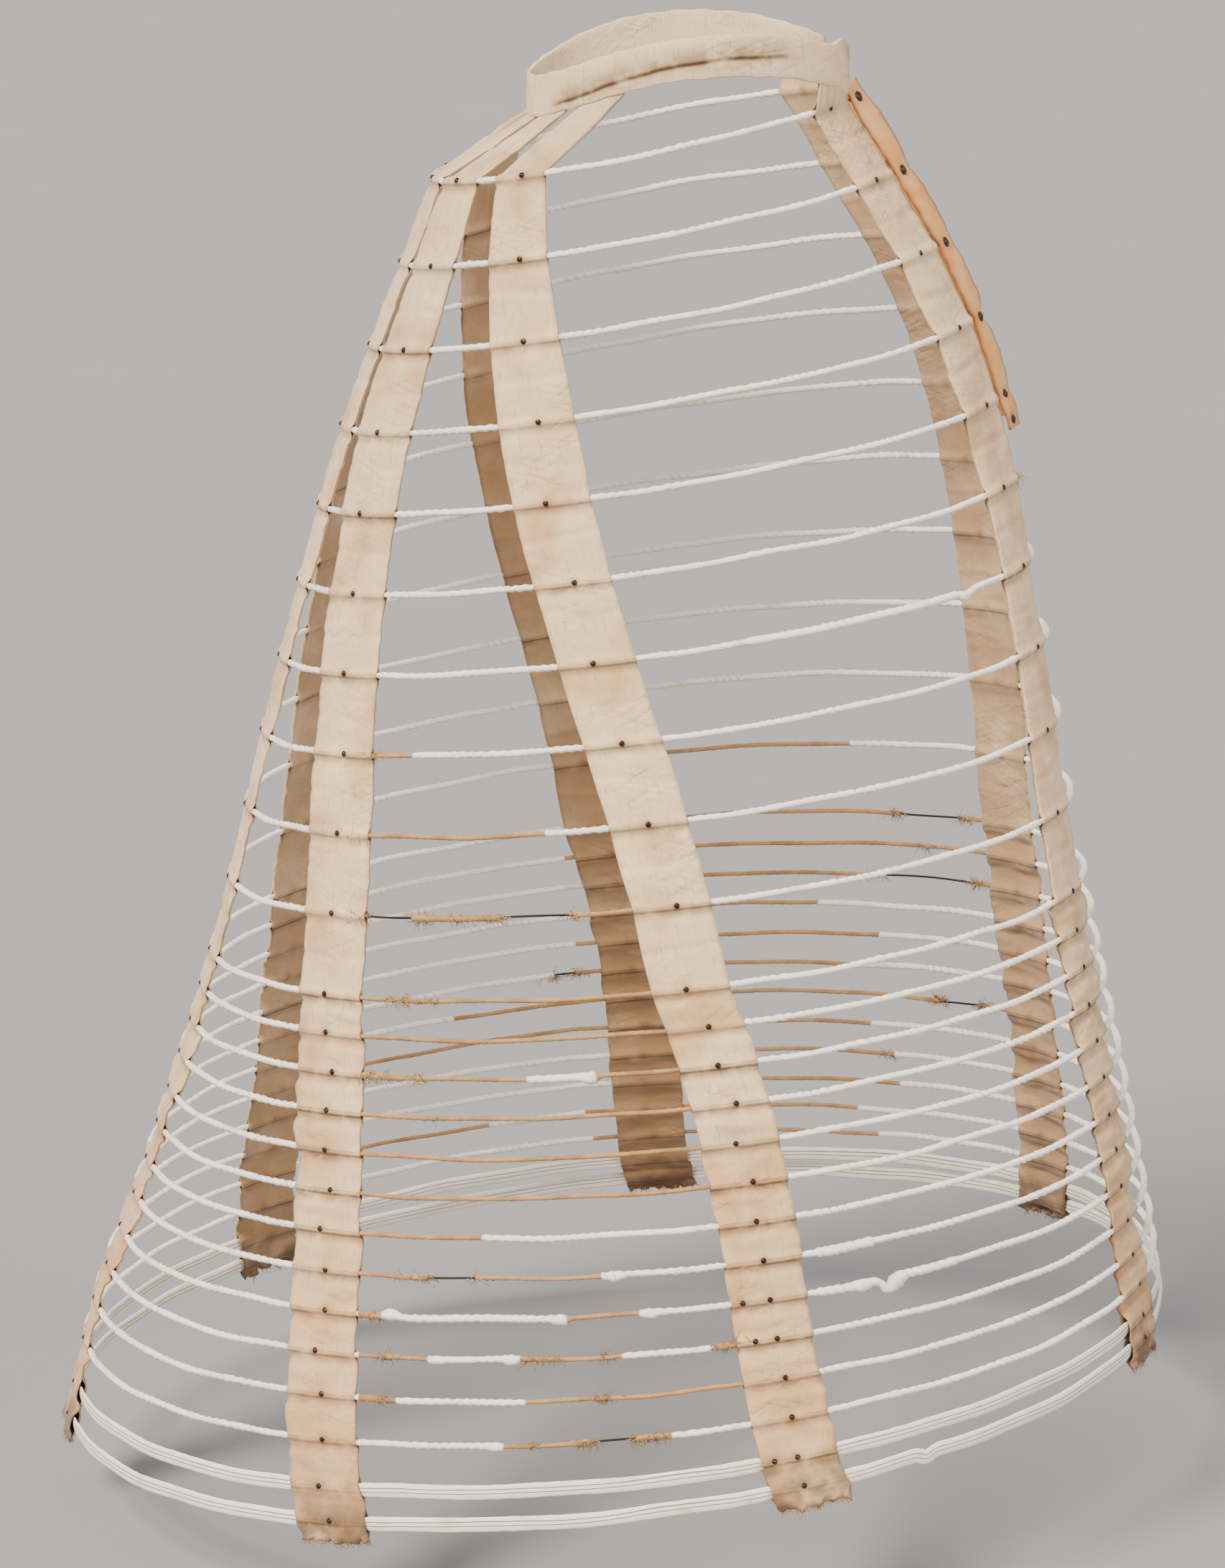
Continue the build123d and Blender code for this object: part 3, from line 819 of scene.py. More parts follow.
def hoop_line(number):
    """A hoop's line as a mesh of edges, with its cover as values on the points, and its length."""
    rng = np.random.default_rng(HOOP_SEED + number)
    angles, places, run = hoop_angles(number)
    closed = number > OPEN_HOOPS
    cycle = run if closed else None
    clear = tape_nearness(number, angles)
    points = course(rng, number, angles, places, clear, cycle)
    wound, wire = covering(number, angles)
    lumps = wander(rng, places, LUMP_WAVES, cycle)
    radius = np.where(wire > 0, WIRE_RADIUS, np.where(wound > 0, WOUND_RADIUS, BARE_RADIUS))
    radius = radius + lumps * np.where(wound > 0, WOUND_LUMP, BARE_LUMP) * (wire == 0)
    for knotted, column, size in KNOTS:
        if knotted == number:
            knot = size * MILLIMETRE * hump(number, angles, column, KNOT_REACH)
            radius = radius + knot
            points[:, 2] -= KNOT_DROP_SHARE * knot
    for sleeved, start, end, size in SLEEVES:
        if sleeved == number:
            inside = (angles > angle_at(number, start, "near")) & (angles < angle_at(number, end, "near"))
            radius = radius + size * MILLIMETRE * inside
    for sagging, column, depth, reach in SAGS:
        if sagging == number:
            points[:, 2] -= depth * MILLIMETRE * hump(number, angles, column, reach * MILLIMETRE)
    under = np.clip(1 - clear / EDGE_TAPER, 0, 1)
    radius = radius + (np.minimum(radius, IN_TAPE_RADIUS) - radius) * under
    shown = np.clip(MEAN_SHOWN + SHOWN_RANGE * wander(rng, places, SHOWN_WAVES, cycle), LEAST_SHOWN, 1)
    ridge = np.where(wound > 0, WOUND_RIDGE * shown, BARE_RIDGE) * (wire == 0) * (1 - under)
    if number >= FIRST_HEM_HOOP:
        radius = HEM_HALF_HEIGHT * (1 + HEM_LUMP_SHARE * lumps) * (1 - HEM_IN_TAPE_SHARE * under)
        ridge, shown = 0 * ridge, HEM_SHOWN_SHARE * shown
    edges = [(i, i + 1) for i in range(len(points) - 1)]
    if closed:
        edges.append((len(points) - 1, 0))
    mesh = bpy.data.meshes.new(f"hoop_line_{number:02d}")
    mesh.from_pydata(points.tolist(), edges, [])
    values = {"cover_radius": radius, "ridge": ridge, "wound": wound, "wire": wire, "turns_shown": shown}
    return with_attributes(mesh, values), run


thicknesses = [2 * radius / MILLIMETRE for radius in (WOUND_RADIUS, BARE_RADIUS, WIRE_RADIUS)]
print("wound, bare and wire stretches are", thicknesses, "mm thick")

# %% The tree that winds a hoop
UNEVEN_SCALE, UNEVEN_TURNS = 14.0, 3.0
WINDING_STARTS, BRAID_STARTS = 1.0, -2.0


def winding_tree():
    """A tube along a line, with the turns of its winding as relief and as values for the finish."""
    inputs = (
        ("Turn Length", "Float"), ("Braid Length", "Float"), ("Thickness Share", "Float"),
        ("Sides", "Int"), ("Material", "Material"),
    )
    tree, given, output = shape_tree("hoop_winding", inputs)
    line = node(tree, "GeometryNodeMeshToCurve", {"Mesh": given["Geometry"]}).outputs[0]
    line = node(tree, "GeometryNodeSetCurveNormal", {"Curve": line}, mode="Z_UP").outputs[0]
    run = node(tree, "GeometryNodeCaptureAttribute", {"Geometry": line})
    run.capture_items.new("FLOAT", "Run")
    tree.links.new(node(tree, "GeometryNodeSplineParameter").outputs["Length"], run.inputs["Run"])
    ring = node(tree, "GeometryNodeCurvePrimitiveCircle", {"Resolution": given["Sides"], "Radius": 1.0})
    scale = node(tree, "ShaderNodeCombineXYZ", {"X": given["Thickness Share"], "Y": 1.0, "Z": 1.0})
    sources = {"Geometry": ring.outputs["Curve"], "Scale": scale.outputs[0]}
    ring = node(tree, "GeometryNodeTransform", sources).outputs[0]
    around = node(tree, "GeometryNodeCaptureAttribute", {"Geometry": ring})
    around.capture_items.new("FLOAT", "Around")
    tree.links.new(node(tree, "GeometryNodeSplineParameter").outputs["Factor"], around.inputs["Around"])
    sources = {
        "Curve": run.outputs["Geometry"], "Profile Curve": around.outputs["Geometry"],
        "Scale": attribute(tree, "cover_radius"), "Fill Caps": True,
    }
    tube = node(tree, "GeometryNodeCurveToMesh", sources).outputs[0]

    sources = {"W": run.outputs["Run"], "Scale": UNEVEN_SCALE, "Detail": 1.0}
    uneven = node(tree, "ShaderNodeTexNoise", sources, noise_dimensions="1D").outputs[0]

    def wave(length, starts, name, geometry, operation="SINE", unevenness=0.0):
        """Keeps a wave that winds round the tube, with a number of starts and one turn in a length."""
        turns = maths(tree, "DIVIDE", run.outputs["Run"], length)
        turns = maths(tree, "SUBTRACT", turns, maths(tree, "MULTIPLY", around.outputs["Around"], starts))
        turns = maths(tree, "ADD", turns, maths(tree, "MULTIPLY", uneven, unevenness))
        high = maths(tree, operation, maths(tree, "MULTIPLY", turns, 2 * math.pi))
        sources = {"Geometry": geometry, "Name": name, "Value": high}
        return node(tree, "GeometryNodeStoreNamedAttribute", sources, data_type="FLOAT").outputs[0]

    tube = wave(given["Turn Length"], WINDING_STARTS, "winding", tube, unevenness=UNEVEN_TURNS)
    tube = wave(given["Turn Length"], WINDING_STARTS, "winding_ahead", tube, "COSINE", UNEVEN_TURNS)
    tube = wave(given["Braid Length"], BRAID_STARTS, "braid", tube)
    rise = maths(tree, "SINE", maths(tree, "MULTIPLY", around.outputs["Around"], 2 * math.pi))
    sources = {"Geometry": tube, "Name": "rise", "Value": rise}
    tube = node(tree, "GeometryNodeStoreNamedAttribute", sources, data_type="FLOAT").outputs[0]
    lift = maths(tree, "MULTIPLY", attribute(tree, "winding"), attribute(tree, "ridge"))
    normal = node(tree, "GeometryNodeInputNormal").outputs[0]
    offset = node(tree, "ShaderNodeVectorMath", {0: normal, "Scale": lift}, operation="SCALE").outputs[0]
    tube = node(tree, "GeometryNodeSetPosition", {"Geometry": tube, "Offset": offset}).outputs[0]
    tube = node(tree, "GeometryNodeSetShadeSmooth", {"Geometry": tube}).outputs[0]
    finished(tree, tube, output, given["Material"])
    return tree


winding = winding_tree()
print("the winding tree has", len(winding.nodes), "nodes")

# %% All the hoops
TURN_LENGTH, HEM_TURN_LENGTH, BRAID_LENGTH = 6.5 * MILLIMETRE, 26 * MILLIMETRE, 4.6 * MILLIMETRE
HOOP_SIDES, HEM_SIDES = 8, 14
for number in range(1, HOOP_COUNT + 1):
    line, run = hoop_line(number)
    hem = number >= FIRST_HEM_HOOP
    sizes = {
        "Turn Length": run / round(run / (HEM_TURN_LENGTH if hem else TURN_LENGTH)),
        "Braid Length": run / round(run / BRAID_LENGTH),
        "Thickness Share": HEM_THICKNESS_SHARE if hem else 1.0,
        "Sides": HEM_SIDES if hem else HOOP_SIDES,
        "Material": hem_cover if hem else hoop_cover,
    }
    hoop = baked(f"wound_hoop_{number:02d}", line, winding, sizes)
    settled(hoop, "hem_band" if hem else "hoop_cover", f"hoop_{number:02d}")
print(len(pieces), "hoops,", triangles(pieces), "triangles")

# %% [markdown]
# ## The tapes
#
# Each tape is two layers of narrow woven cotton. They lie together, part to let a hoop through and are
# riveted there, so the cloth swells over every hoop. Between the hoops it is slack: it billows, creases
# across and its edges wave, more so near the hem where the hoops are close. The ends are frayed.
#
# A simulation would have to know the unknown slack, so the cloth is laid out: rows of points
# follow each hoop across the tape, and the folds are added off the surface, the same for both layers so
# that they never cross. Each layer is then a thin closed sheet of its own.

# %% Rows of points down a tape
COLUMNS = 17
ROW_STEP = 2.0 * MILLIMETRE
TUCK_DEPTH = 6 * MILLIMETRE
BAND_HEIGHT, BAND_THICKNESS = 28 * MILLIMETRE, 3.2 * MILLIMETRE
TAPE_TAIL, CAGE_MIDDLE, LEAST_STEPS = 14 * MILLIMETRE, -30 * MILLIMETRE, 3
across_shares = np.linspace(-0.5, 0.5, COLUMNS)


def row_at(tape, number):
    """Points across a tape along the hoop that it crosses."""
    return beside_tape(tape, number, across_shares * tape_width_at(number))


def tape_rows(tape):
    """The rows where a tape is held, and the number of the hoop that holds each; -1 where none does."""
    top = row_at(tape, 0)
    down = np.array((0.0, 0.0, -1.0))
    rows = [top + down * TUCK_DEPTH, top + down * (BAND_HEIGHT / 2 + EDGE_CLEARANCE)]
    numbers = [-1, -1]
    for number in range(1, HOOP_COUNT + 1):
        rows.append(row_at(tape, number))
        numbers.append(number)
    rows.append(rows[-1] + unit(rows[-1] - rows[-2]) * TAPE_TAIL)
    return rows, numbers + [-1]


def laid_out(tape):
    """The tape's plain surface: points, the stretch that each row is in, its share and its length."""
    rows, numbers = tape_rows(tape)
    points, stretch, shares, lengths = [], [], [], []
    for i, (upper, lower) in enumerate(zip(rows, rows[1:])):
        length = float(np.linalg.norm((lower - upper)[COLUMNS // 2]))
        steps = max(LEAST_STEPS, round(length / ROW_STEP))
        last = i == len(rows) - 2
        for k in range(steps + last):
            points.append(upper + (lower - upper) * (k / steps))
            stretch.append(i)
            shares.append(k / steps)
            lengths.append(length)
    return *(np.array(column) for column in (points, stretch, shares, lengths)), numbers


def outward_normals(points):
    """Unit vectors off a grid of points, away from the cage's middle."""
    normals = unit(np.cross(np.gradient(points, axis=0), np.gradient(points, axis=1)))
    from_middle = points[:, :, 0] - CAGE_MIDDLE
    outside = from_middle * normals[:, :, 0] + points[:, :, 1] * normals[:, :, 1]
    return normals * np.sign(outside.mean())


laid_rows = len(laid_out("centre_back")[0])
print("the centre back tape is laid out in", laid_rows, "rows of", COLUMNS, "points")

# %% Folds and waves of the cloth
CREASES_PER_STRETCH = 5
CREASE_WIDTHS, CREASE_LENGTHS = (2.0 * MILLIMETRE, 4.5 * MILLIMETRE), (8 * MILLIMETRE, 26 * MILLIMETRE)
CREASE_PLACES, CREASE_ASIDES, CREASE_SHARES, CREASE_SLANT = (0.1, 0.9), (-0.45, 0.45), (0.2, 0.6), 0.3
BILLOW_SHARES, FLUTTER_SHARES, BILLOW_SPREAD = (0.4, 1.0), (-1.4, 1.0), 0.7
CROSS_CREASE_LENGTH, CROSS_CREASE_WIDTH = 40 * MILLIMETRE, 2.6 * MILLIMETRE
CROSS_CREASE_PLACES, CROSS_CREASE_SHARES, CROSS_CREASE_SLANT = (0.42, 0.58), (0.5, 0.9), 0.08


def folds(rng, stretch, shares, lengths, slack):
    """How far the cloth stands off its plain surface: nothing at a hoop, more between hoops."""
    height = np.zeros((len(shares), COLUMNS))
    across = across_shares[None, :] * TAPE_WIDTH
    for i in range(stretch.max() + 1):
        rows = stretch == i
        share, length = shares[rows][:, None], lengths[rows][0]
        held = np.sin(math.pi * share)
        arch = np.cos(math.pi * across / TAPE_WIDTH * BILLOW_SPREAD)
        billow = rng.uniform(*BILLOW_SHARES) * held * arch
        flutter = np.zeros_like(billow)
        for side in (-1, 1):
            edge = np.clip(side * across / TAPE_WIDTH * 2, 0, 1) ** 3
            flutter += rng.uniform(*FLUTTER_SHARES) * edge * held
        creases = np.zeros_like(billow)
        for _ in range(CREASES_PER_STRETCH):
            centre, aside = rng.uniform(*CREASE_PLACES), rng.uniform(*CREASE_ASIDES) * TAPE_WIDTH
            slope, sign = rng.normal(0, CREASE_SLANT), rng.choice((-1, 1))
            wide, long = rng.uniform(*CREASE_WIDTHS), rng.uniform(*CREASE_LENGTHS)
            along = (share - centre) * length - slope * (across - aside)
            size = sign * rng.uniform(*CREASE_SHARES)
            creases += size * np.exp(-((along / wide) ** 2) - (((across - aside) / long) ** 2))
        if length > CROSS_CREASE_LENGTH:
            along = (share - rng.uniform(*CROSS_CREASE_PLACES)) * length
            along = along - rng.normal(0, CROSS_CREASE_SLANT) * across
            creases -= rng.uniform(*CROSS_CREASE_SHARES) * np.exp(-((along / CROSS_CREASE_WIDTH) ** 2))
        height[rows] = slack[i] * (billow + flutter + creases * np.sqrt(held))
    return height


def hoop_distance(stretch, shares, lengths, numbers):
    """For each row, how far it is below the nearest hoop and that hoop's number."""
    away = np.full(len(shares), np.inf)
    nearest = np.zeros(len(shares), int)
    for row in range(len(shares)):
        for station, gap in ((stretch[row], shares[row]), (stretch[row] + 1, shares[row] - 1)):
            distance = gap * lengths[row]
            if numbers[station] > 0 and abs(distance) < abs(away[row]):
                away[row], nearest[row] = distance, numbers[station]
    return away, nearest


print(CREASES_PER_STRETCH, "small creases in each stretch of a tape")


# %% A thin closed sheet from two grids of points
def sheet_mesh(name, front, back, cloth, values, material, front_only=()):
    """A closed ribbon between two grids, with cloth coordinates in metres and values per point."""
    rows, columns = front.shape[:2]
    count = rows * columns
    index = np.arange(count).reshape(rows, columns)
    corners = (index[:-1, :-1], index[:-1, 1:], index[1:, 1:], index[1:, :-1])
    quads = np.stack(corners, axis=-1).reshape(-1, 4)
    rim = np.concatenate((index[0], index[1:, -1], index[-1, -2::-1], index[-2:0:-1, 0]))
    following = np.roll(rim, -1)
    walls = np.stack((rim, rim + count, following + count, following), axis=-1)
    faces = np.concatenate((quads, quads[:, ::-1] + count, walls))
    mesh = bpy.data.meshes.new(name)
    mesh.from_pydata(np.concatenate((front, back)).reshape(-1, 3).tolist(), [], faces.tolist())
    for key, value in values.items():
        with_attributes(mesh, {key: np.concatenate((value, value * (key not in front_only)))})
    loop_points = np.empty(len(mesh.loops), dtype=np.int32)
    mesh.loops.foreach_get("vertex_index", loop_points)
    layer = mesh.uv_layers.new(name="cloth")
    flat = np.concatenate((cloth, cloth)).reshape(-1, 2)
    layer.data.foreach_set("uv", np.ascontiguousarray(flat[loop_points], dtype=np.float32).ravel())
    mesh.polygons.foreach_set("use_smooth", np.ones(len(mesh.polygons), dtype=bool))
    mesh.materials.append(material)
    shell = bmesh.new()
    shell.from_mesh(mesh)
    bmesh.ops.recalc_face_normals(shell, faces=shell.faces)
    shell.to_mesh(mesh)
    shell.free()
    return placed(name, mesh)


print("meshes made before the first sheet:", len(bpy.data.meshes))

# %% Pockets, valleys and pleats of a tape
LAYER_THICKNESS = 0.8 * MILLIMETRE
LAID_GAP, POCKET_GAP, HEM_POCKET_GAP = 0.15 * MILLIMETRE, 1.95 * MILLIMETRE, 2.5 * MILLIMETRE
POCKET_REACH, HEM_POCKET_REACH = 3.6 * MILLIMETRE, 8.0 * MILLIMETRE
VALLEY_OFFSET, VALLEY_REACH = 6.0 * MILLIMETRE, 3.2 * MILLIMETRE
UPPER_VALLEY, LOWER_VALLEY = 1.1 * MILLIMETRE, 2.1 * MILLIMETRE
UPPER_SLACK, LOWER_SLACK, TAIL_SLACK = 1.2 * MILLIMETRE, 2.5 * MILLIMETRE, 4.5 * MILLIMETRE
PLEAT_WIDTH, PLEAT_HEIGHT = 11 * MILLIMETRE, 1.1 * MILLIMETRE
HEM_CALM_REACH, FRONT_CALM_SHARE = 5.0 * MILLIMETRE, 0.35
CURL_WAVES = (0.021, 0.011, 0.007)


def pockets(away, nearest):
    """Half the gap between the layers: a swelling over every hoop."""
    round_swell = np.exp(-((away / POCKET_REACH) ** 2))
    hem_swell = np.exp(-((away / HEM_POCKET_REACH) ** 6))
    swell = np.where(nearest >= FIRST_HEM_HOOP, hem_swell * HEM_POCKET_GAP, round_swell * POCKET_GAP)
    return np.maximum(swell, LAID_GAP)


def calm_top(tape, last):
    """A share for each stretch: the front tapes are smoother beside the leather facings."""
    calm = np.ones(last + 1)
    if tape.startswith("front"):
        calm[:FACED_HOOPS + 2] = FRONT_CALM_SHARE
    return calm


def standing_off(rng, tape, stretch, shares, lengths, away, nearest):
    """How far each point of a tape stands off its plain surface."""
    last = stretch.max()
    slack = np.where(np.arange(last + 1) > KNEE_HOOP, LOWER_SLACK, UPPER_SLACK)
    slack[0], slack[last] = 0, TAIL_SLACK
    height = folds(rng, stretch, shares, lengths, slack)
    curl = wander(rng, across_shares * TAPE_WIDTH, CURL_WAVES)
    height += TAIL_SLACK * np.where(stretch == last, shares, 0.0)[:, None] * curl[None, :]
    valley = np.where(stretch > KNEE_HOOP, LOWER_VALLEY, UPPER_VALLEY) * (nearest > 0)
    valley = valley * calm_top(tape, last)[stretch]
    height -= (valley * np.exp(-(((away - VALLEY_OFFSET) / VALLEY_REACH) ** 2)))[:, None]
    pleat_phase = rng.uniform(0, 2 * math.pi)
    pleats = np.sin(2 * math.pi * across_shares * TAPE_WIDTH / PLEAT_WIDTH + pleat_phase)
    gathered = np.clip(1 - stretch / len(GATHER_WIDTH_SHARES), 0, 1) * (stretch > 0)
    height += PLEAT_HEIGHT * (gathered * np.sin(math.pi * shares))[:, None] * pleats[None, :]
    calm = np.clip((np.abs(away) - HEM_CALM_REACH) / HEM_CALM_REACH, 0, 1)
    return height * np.where(nearest >= FIRST_HEM_HOOP, calm, 1.0)[:, None]


pocket_height = pockets(np.zeros(1), np.ones(1))[0]
print(f"the layers part by {2 * pocket_height / MILLIMETRE:.1f} mm over a hoop")

# %% Edges and rivets of a tape
SCALLOP, SCALLOP_SHARES, UPPER_SCALLOP_SHARE = 2.2 * MILLIMETRE, (-0.2, 1.0), 0.5
RUST_REACH, RUST_STRENGTH = 3.6 * MILLIMETRE, 0.9
RIVET_STRAY = 0.08
EXTRA_RIVETS = {"side_right": ((19, -0.36), (20, -0.27), (23, -0.33))}


def waving_edges(rng, stretch, shares):
    """How far each point moves across its row, because the edges wave in and out between the hoops."""
    drawn = np.array([rng.uniform(*SCALLOP_SHARES, 2) for _ in range(stretch.max() + 1)])
    scallop = SCALLOP * drawn[stretch]
    amount = np.where(stretch > KNEE_HOOP, 1.0, UPPER_SCALLOP_SHARE)
    scallop *= (np.sin(math.pi * shares) * amount)[:, None]
    first_side, second_side = np.clip(-2 * across_shares, 0, 1), np.clip(2 * across_shares, 0, 1)
    return scallop[:, 1:] * second_side[None, :] - scallop[:, :1] * first_side[None, :]


def riveted(rng, tape, points, normals, run, gap, held_rows):
    """The rivets of a tape, as places and directions off the cloth, and the rust round them."""
    crossings = [(row, rng.uniform(-RIVET_STRAY, RIVET_STRAY)) for row in held_rows]
    crossings += [(held_rows[number - 1], aside) for number, aside in EXTRA_RIVETS.get(tape, ())]
    rivets, rust = [], np.zeros(points.shape[:2])
    for row, aside in crossings:
        spread = np.hypot((across_shares[None, :] - aside) * TAPE_WIDTH, (run - run[row])[:, None])
        rust = np.maximum(rust, RUST_STRENGTH * np.exp(-((spread / RUST_REACH) ** 2)))
        here = [np.interp(aside, across_shares, points[row, :, axis]) for axis in range(3)]
        off = normals[row, COLUMNS // 2]
        rivets.append((np.array(here) + off * (gap[row, 0, 0] + LAYER_THICKNESS), off))
    return rivets, rust


print(sum(map(len, EXTRA_RIVETS.values())), "crossings have a second rivet")

# %% Both layers of every tape
RAGGED_EDGE, RAGGED_WAVES = 5.0 * MILLIMETRE, (0.035, 0.012, 0.006, 0.0035)
LINE_STRENGTHS, LOWER_LINE_SHARE = (0.35, 0.8), 1.2
HEM_SOIL = (0.15, 0.5, 0.9, 1.0)
rivet_places = {}
tape_ends = {}


def over_columns(per_row):
    """A value for each row, repeated over the tape's columns."""
    return np.repeat(per_row[:, None], COLUMNS, axis=1)


def dressed_tape(tape):
    """Makes the two layers of one tape and notes its rivets and its end; gives its length."""
    rng = np.random.default_rng(sum(map(ord, tape)))
    points, stretch, shares, lengths, numbers = laid_out(tape)
    last, hoop_above = stretch.max(), np.array(numbers)[:-1]
    normals = outward_normals(points)
    across, down = unit(np.gradient(points, axis=1)), unit(np.gradient(points, axis=0))
    away, nearest = hoop_distance(stretch, shares, lengths, numbers)
    height = standing_off(rng, tape, stretch, shares, lengths, away, nearest)
    widen = waving_edges(rng, stretch, shares)
    points = points + across * widen[:, :, None] + normals * height[:, :, None]
    ragged = RAGGED_EDGE * wander(rng, across_shares * TAPE_WIDTH, RAGGED_WAVES)
    tail = np.where(stretch == last, shares, 0.0)
    points = points + down * (ragged[None, :] * tail[:, None])[:, :, None]
    gap = pockets(away, nearest)[:, None, None]
    run = run_along(points[:, COLUMNS // 2])
    cloth = np.stack(np.broadcast_arrays(across_shares[None, :] * TAPE_WIDTH, run[:, None]), axis=-1)
    # strength of the dark line and band under each hoop, partly stain and partly painted shadow
    lines = rng.uniform(*LINE_STRENGTHS, last + 1) * (hoop_above > 0) * calm_top(tape, last)
    lines[KNEE_HOOP + 1:] *= LOWER_LINE_SHARE
    held_rows = np.flatnonzero((shares == 0) & (hoop_above[stretch] > 0))
    rivet_places[tape], rust = riveted(rng, tape, points, normals, run, gap, held_rows)
    tape_ends[tape] = (points[-1], down[-1], normals[-1])
    hem_soil = np.interp(stretch + shares, (last - 2, last - 1, last, last + 1), HEM_SOIL)
    values = {
        "stain": rust, "soil": over_columns(hem_soil),
        "below_hoop": over_columns(shares * lengths), "line": over_columns(lines[stretch]),
    }
    for layer, side in (("outer", 1), ("inner", -1)):
        near = points + normals * gap * side
        far = near + normals * LAYER_THICKNESS * side
        # marks the inner layer, which its finish paints darker brown as shade
        values["inside"] = np.full_like(rust, layer == "inner")
        piece = sheet_mesh(f"cloth_{tape}_{layer}", near, far, cloth, values, tape_cotton)
        settled(piece, "tape_cotton", f"tape_{tape}_{layer}")
    return float(run[-1])


for tape in TAPES:
    length = dressed_tape(tape)
    print(f"{tape}: {length:.3f} m long, {len(rivet_places[tape])} rivets")

# %% [markdown]
# ## Rivets and studs
#
# Every crossing has a small dark rivet through both layers and the hoop, ringed with rust, and three
# crossings of the right side tape have a second one. The leather facings have larger studs. They
# repeat all over the cage, so a geometry tree sets one low dome on a washer at each of a set of
# points, turned to stand off the cloth.

# %% The tree that sets a head on each point
HEAD_SEGMENTS, HEAD_RINGS = 12, 8


def head_tree():
    """A low dome and its washer on every point of a mesh."""
    inputs = (
        ("Radius", "Float"), ("Height", "Float"), ("Washer Radius", "Float"), ("Washer Height", "Float"),
        ("Material", "Material"),
    )
    tree, given, output = shape_tree("fastener_heads", inputs)
    domes = []
    for radius, height in (("Radius", "Height"), ("Washer Radius", "Washer Height")):
        sources = {"Segments": HEAD_SEGMENTS, "Rings": HEAD_RINGS, "Radius": 1.0}
        dome = node(tree, "GeometryNodeMeshUVSphere", sources).outputs[0]
        scale = node(tree, "ShaderNodeCombineXYZ", {0: given[radius], 1: given[radius], 2: given[height]})
        dome = node(tree, "GeometryNodeTransform", {"Geometry": dome, "Scale": scale.outputs[0]})
        domes.append(dome.outputs[0])
    head = node(tree, "GeometryNodeJoinGeometry")
    for dome in domes:
        tree.links.new(dome, head.inputs[0])
    facing = attribute(tree, "off_cloth", "FLOAT_VECTOR")
    turn = node(tree, "FunctionNodeAlignRotationToVector", {"Vector": facing}, axis="Z").outputs[0]
    points = node(tree, "GeometryNodeMeshToPoints", {"Mesh": given["Geometry"]}).outputs[0]
    sources = {"Points": points, "Instance": head.outputs[0], "Rotation": turn}
    heads = node(tree, "GeometryNodeInstanceOnPoints", sources).outputs[0]
    real = node(tree, "GeometryNodeRealizeInstances", {"Geometry": heads}).outputs[0]
    rounded = node(tree, "GeometryNodeSetShadeSmooth", {"Geometry": real}).outputs[0]
    finished(tree, rounded, output, given["Material"])
    return tree


fastener_heads = head_tree()
print("the tree of heads has", len(fastener_heads.nodes), "nodes")


# %% Rivets at the crossings
def set_heads(name, places, sizes, slot, cad_node):
    """Sets heads at places given as (point, direction off the cloth)."""
    mesh = bpy.data.meshes.new(name)
    mesh.from_pydata([point.tolist() for point, _ in places], [], [])
    with_attributes(mesh, {"off_cloth": np.array([off for _, off in places])}, "FLOAT_VECTOR")
    heads = baked(name, mesh, fastener_heads, sizes)
    settled(heads, slot, cad_node)


rivet_sizes = {
    "Radius": 1.5 * MILLIMETRE, "Height": 1.0 * MILLIMETRE,
    "Washer Radius": 2.0 * MILLIMETRE, "Washer Height": 0.3 * MILLIMETRE, "Material": rivet_metal,
}
for tape in TAPES:
    set_heads(f"rivet_heads_{tape}", rivet_places[tape], rivet_sizes, "rivet_metal", f"rivets_{tape}")
print(sum(len(places) for places in rivet_places.values()), "rivets set")

# %% [markdown]
# ## The leather facings
#
# The ends of the first five hoops are covered by a strip of thin orange leather beside the front tape,
# with a stud at each end and a sixth one at its foot. It has shrunk and waves along its edges, and it is
# torn at the fourth stud. It is laid out like the tapes, as a thin closed sheet over the hoop ends, with
# the waves written as sums of sines.

# %% The plain surface of a facing
FACING_COLUMNS, FACING_STEP = 11, 2.0 * MILLIMETRE
FACING_TAIL = 14 * MILLIMETRE
LAST_STUD_RUN, FACING_END = 17 * MILLIMETRE, 24 * MILLIMETRE
facing_shares = np.linspace(-0.5, 0.5, FACING_COLUMNS)


def facing_row(side, number):
    """Points across a facing along the end of a hoop, from the tape towards the front."""
    sign = -1 if side == "left" else 1
    offset = tape_width_at(number) / 2 + EDGE_CLEARANCE + FACING_WIDTH / 2
    return beside_tape(f"front_{side}", number, sign * (offset + facing_shares * FACING_WIDTH))


def facing_points(side):
    """The facing's plain surface, its length down to each row, and the lengths at which its studs sit."""
    rows = [facing_row(side, number) for number in range(1, FACED_HOOPS + 1)]
    above, below = unit(rows[0] - rows[1]), unit(rows[-1] - rows[-2])
    last_stud, end = rows[-1] + below * LAST_STUD_RUN, rows[-1] + below * FACING_END
    rows = [rows[0] + above * FACING_TAIL, *rows, last_stud, end]
    run = run_along(np.array([row[FACING_COLUMNS // 2] for row in rows]))
    places = np.linspace(0, run[-1], round(run[-1] / FACING_STEP))
    points = np.empty((len(places), FACING_COLUMNS, 3))
    for column in range(FACING_COLUMNS):
        for axis in range(3):
            points[:, column, axis] = np.interp(places, run, [row[column, axis] for row in rows])
    return points, places, run[1:-1]


print("studs down a facing:", len(facing_points("right")[2]))

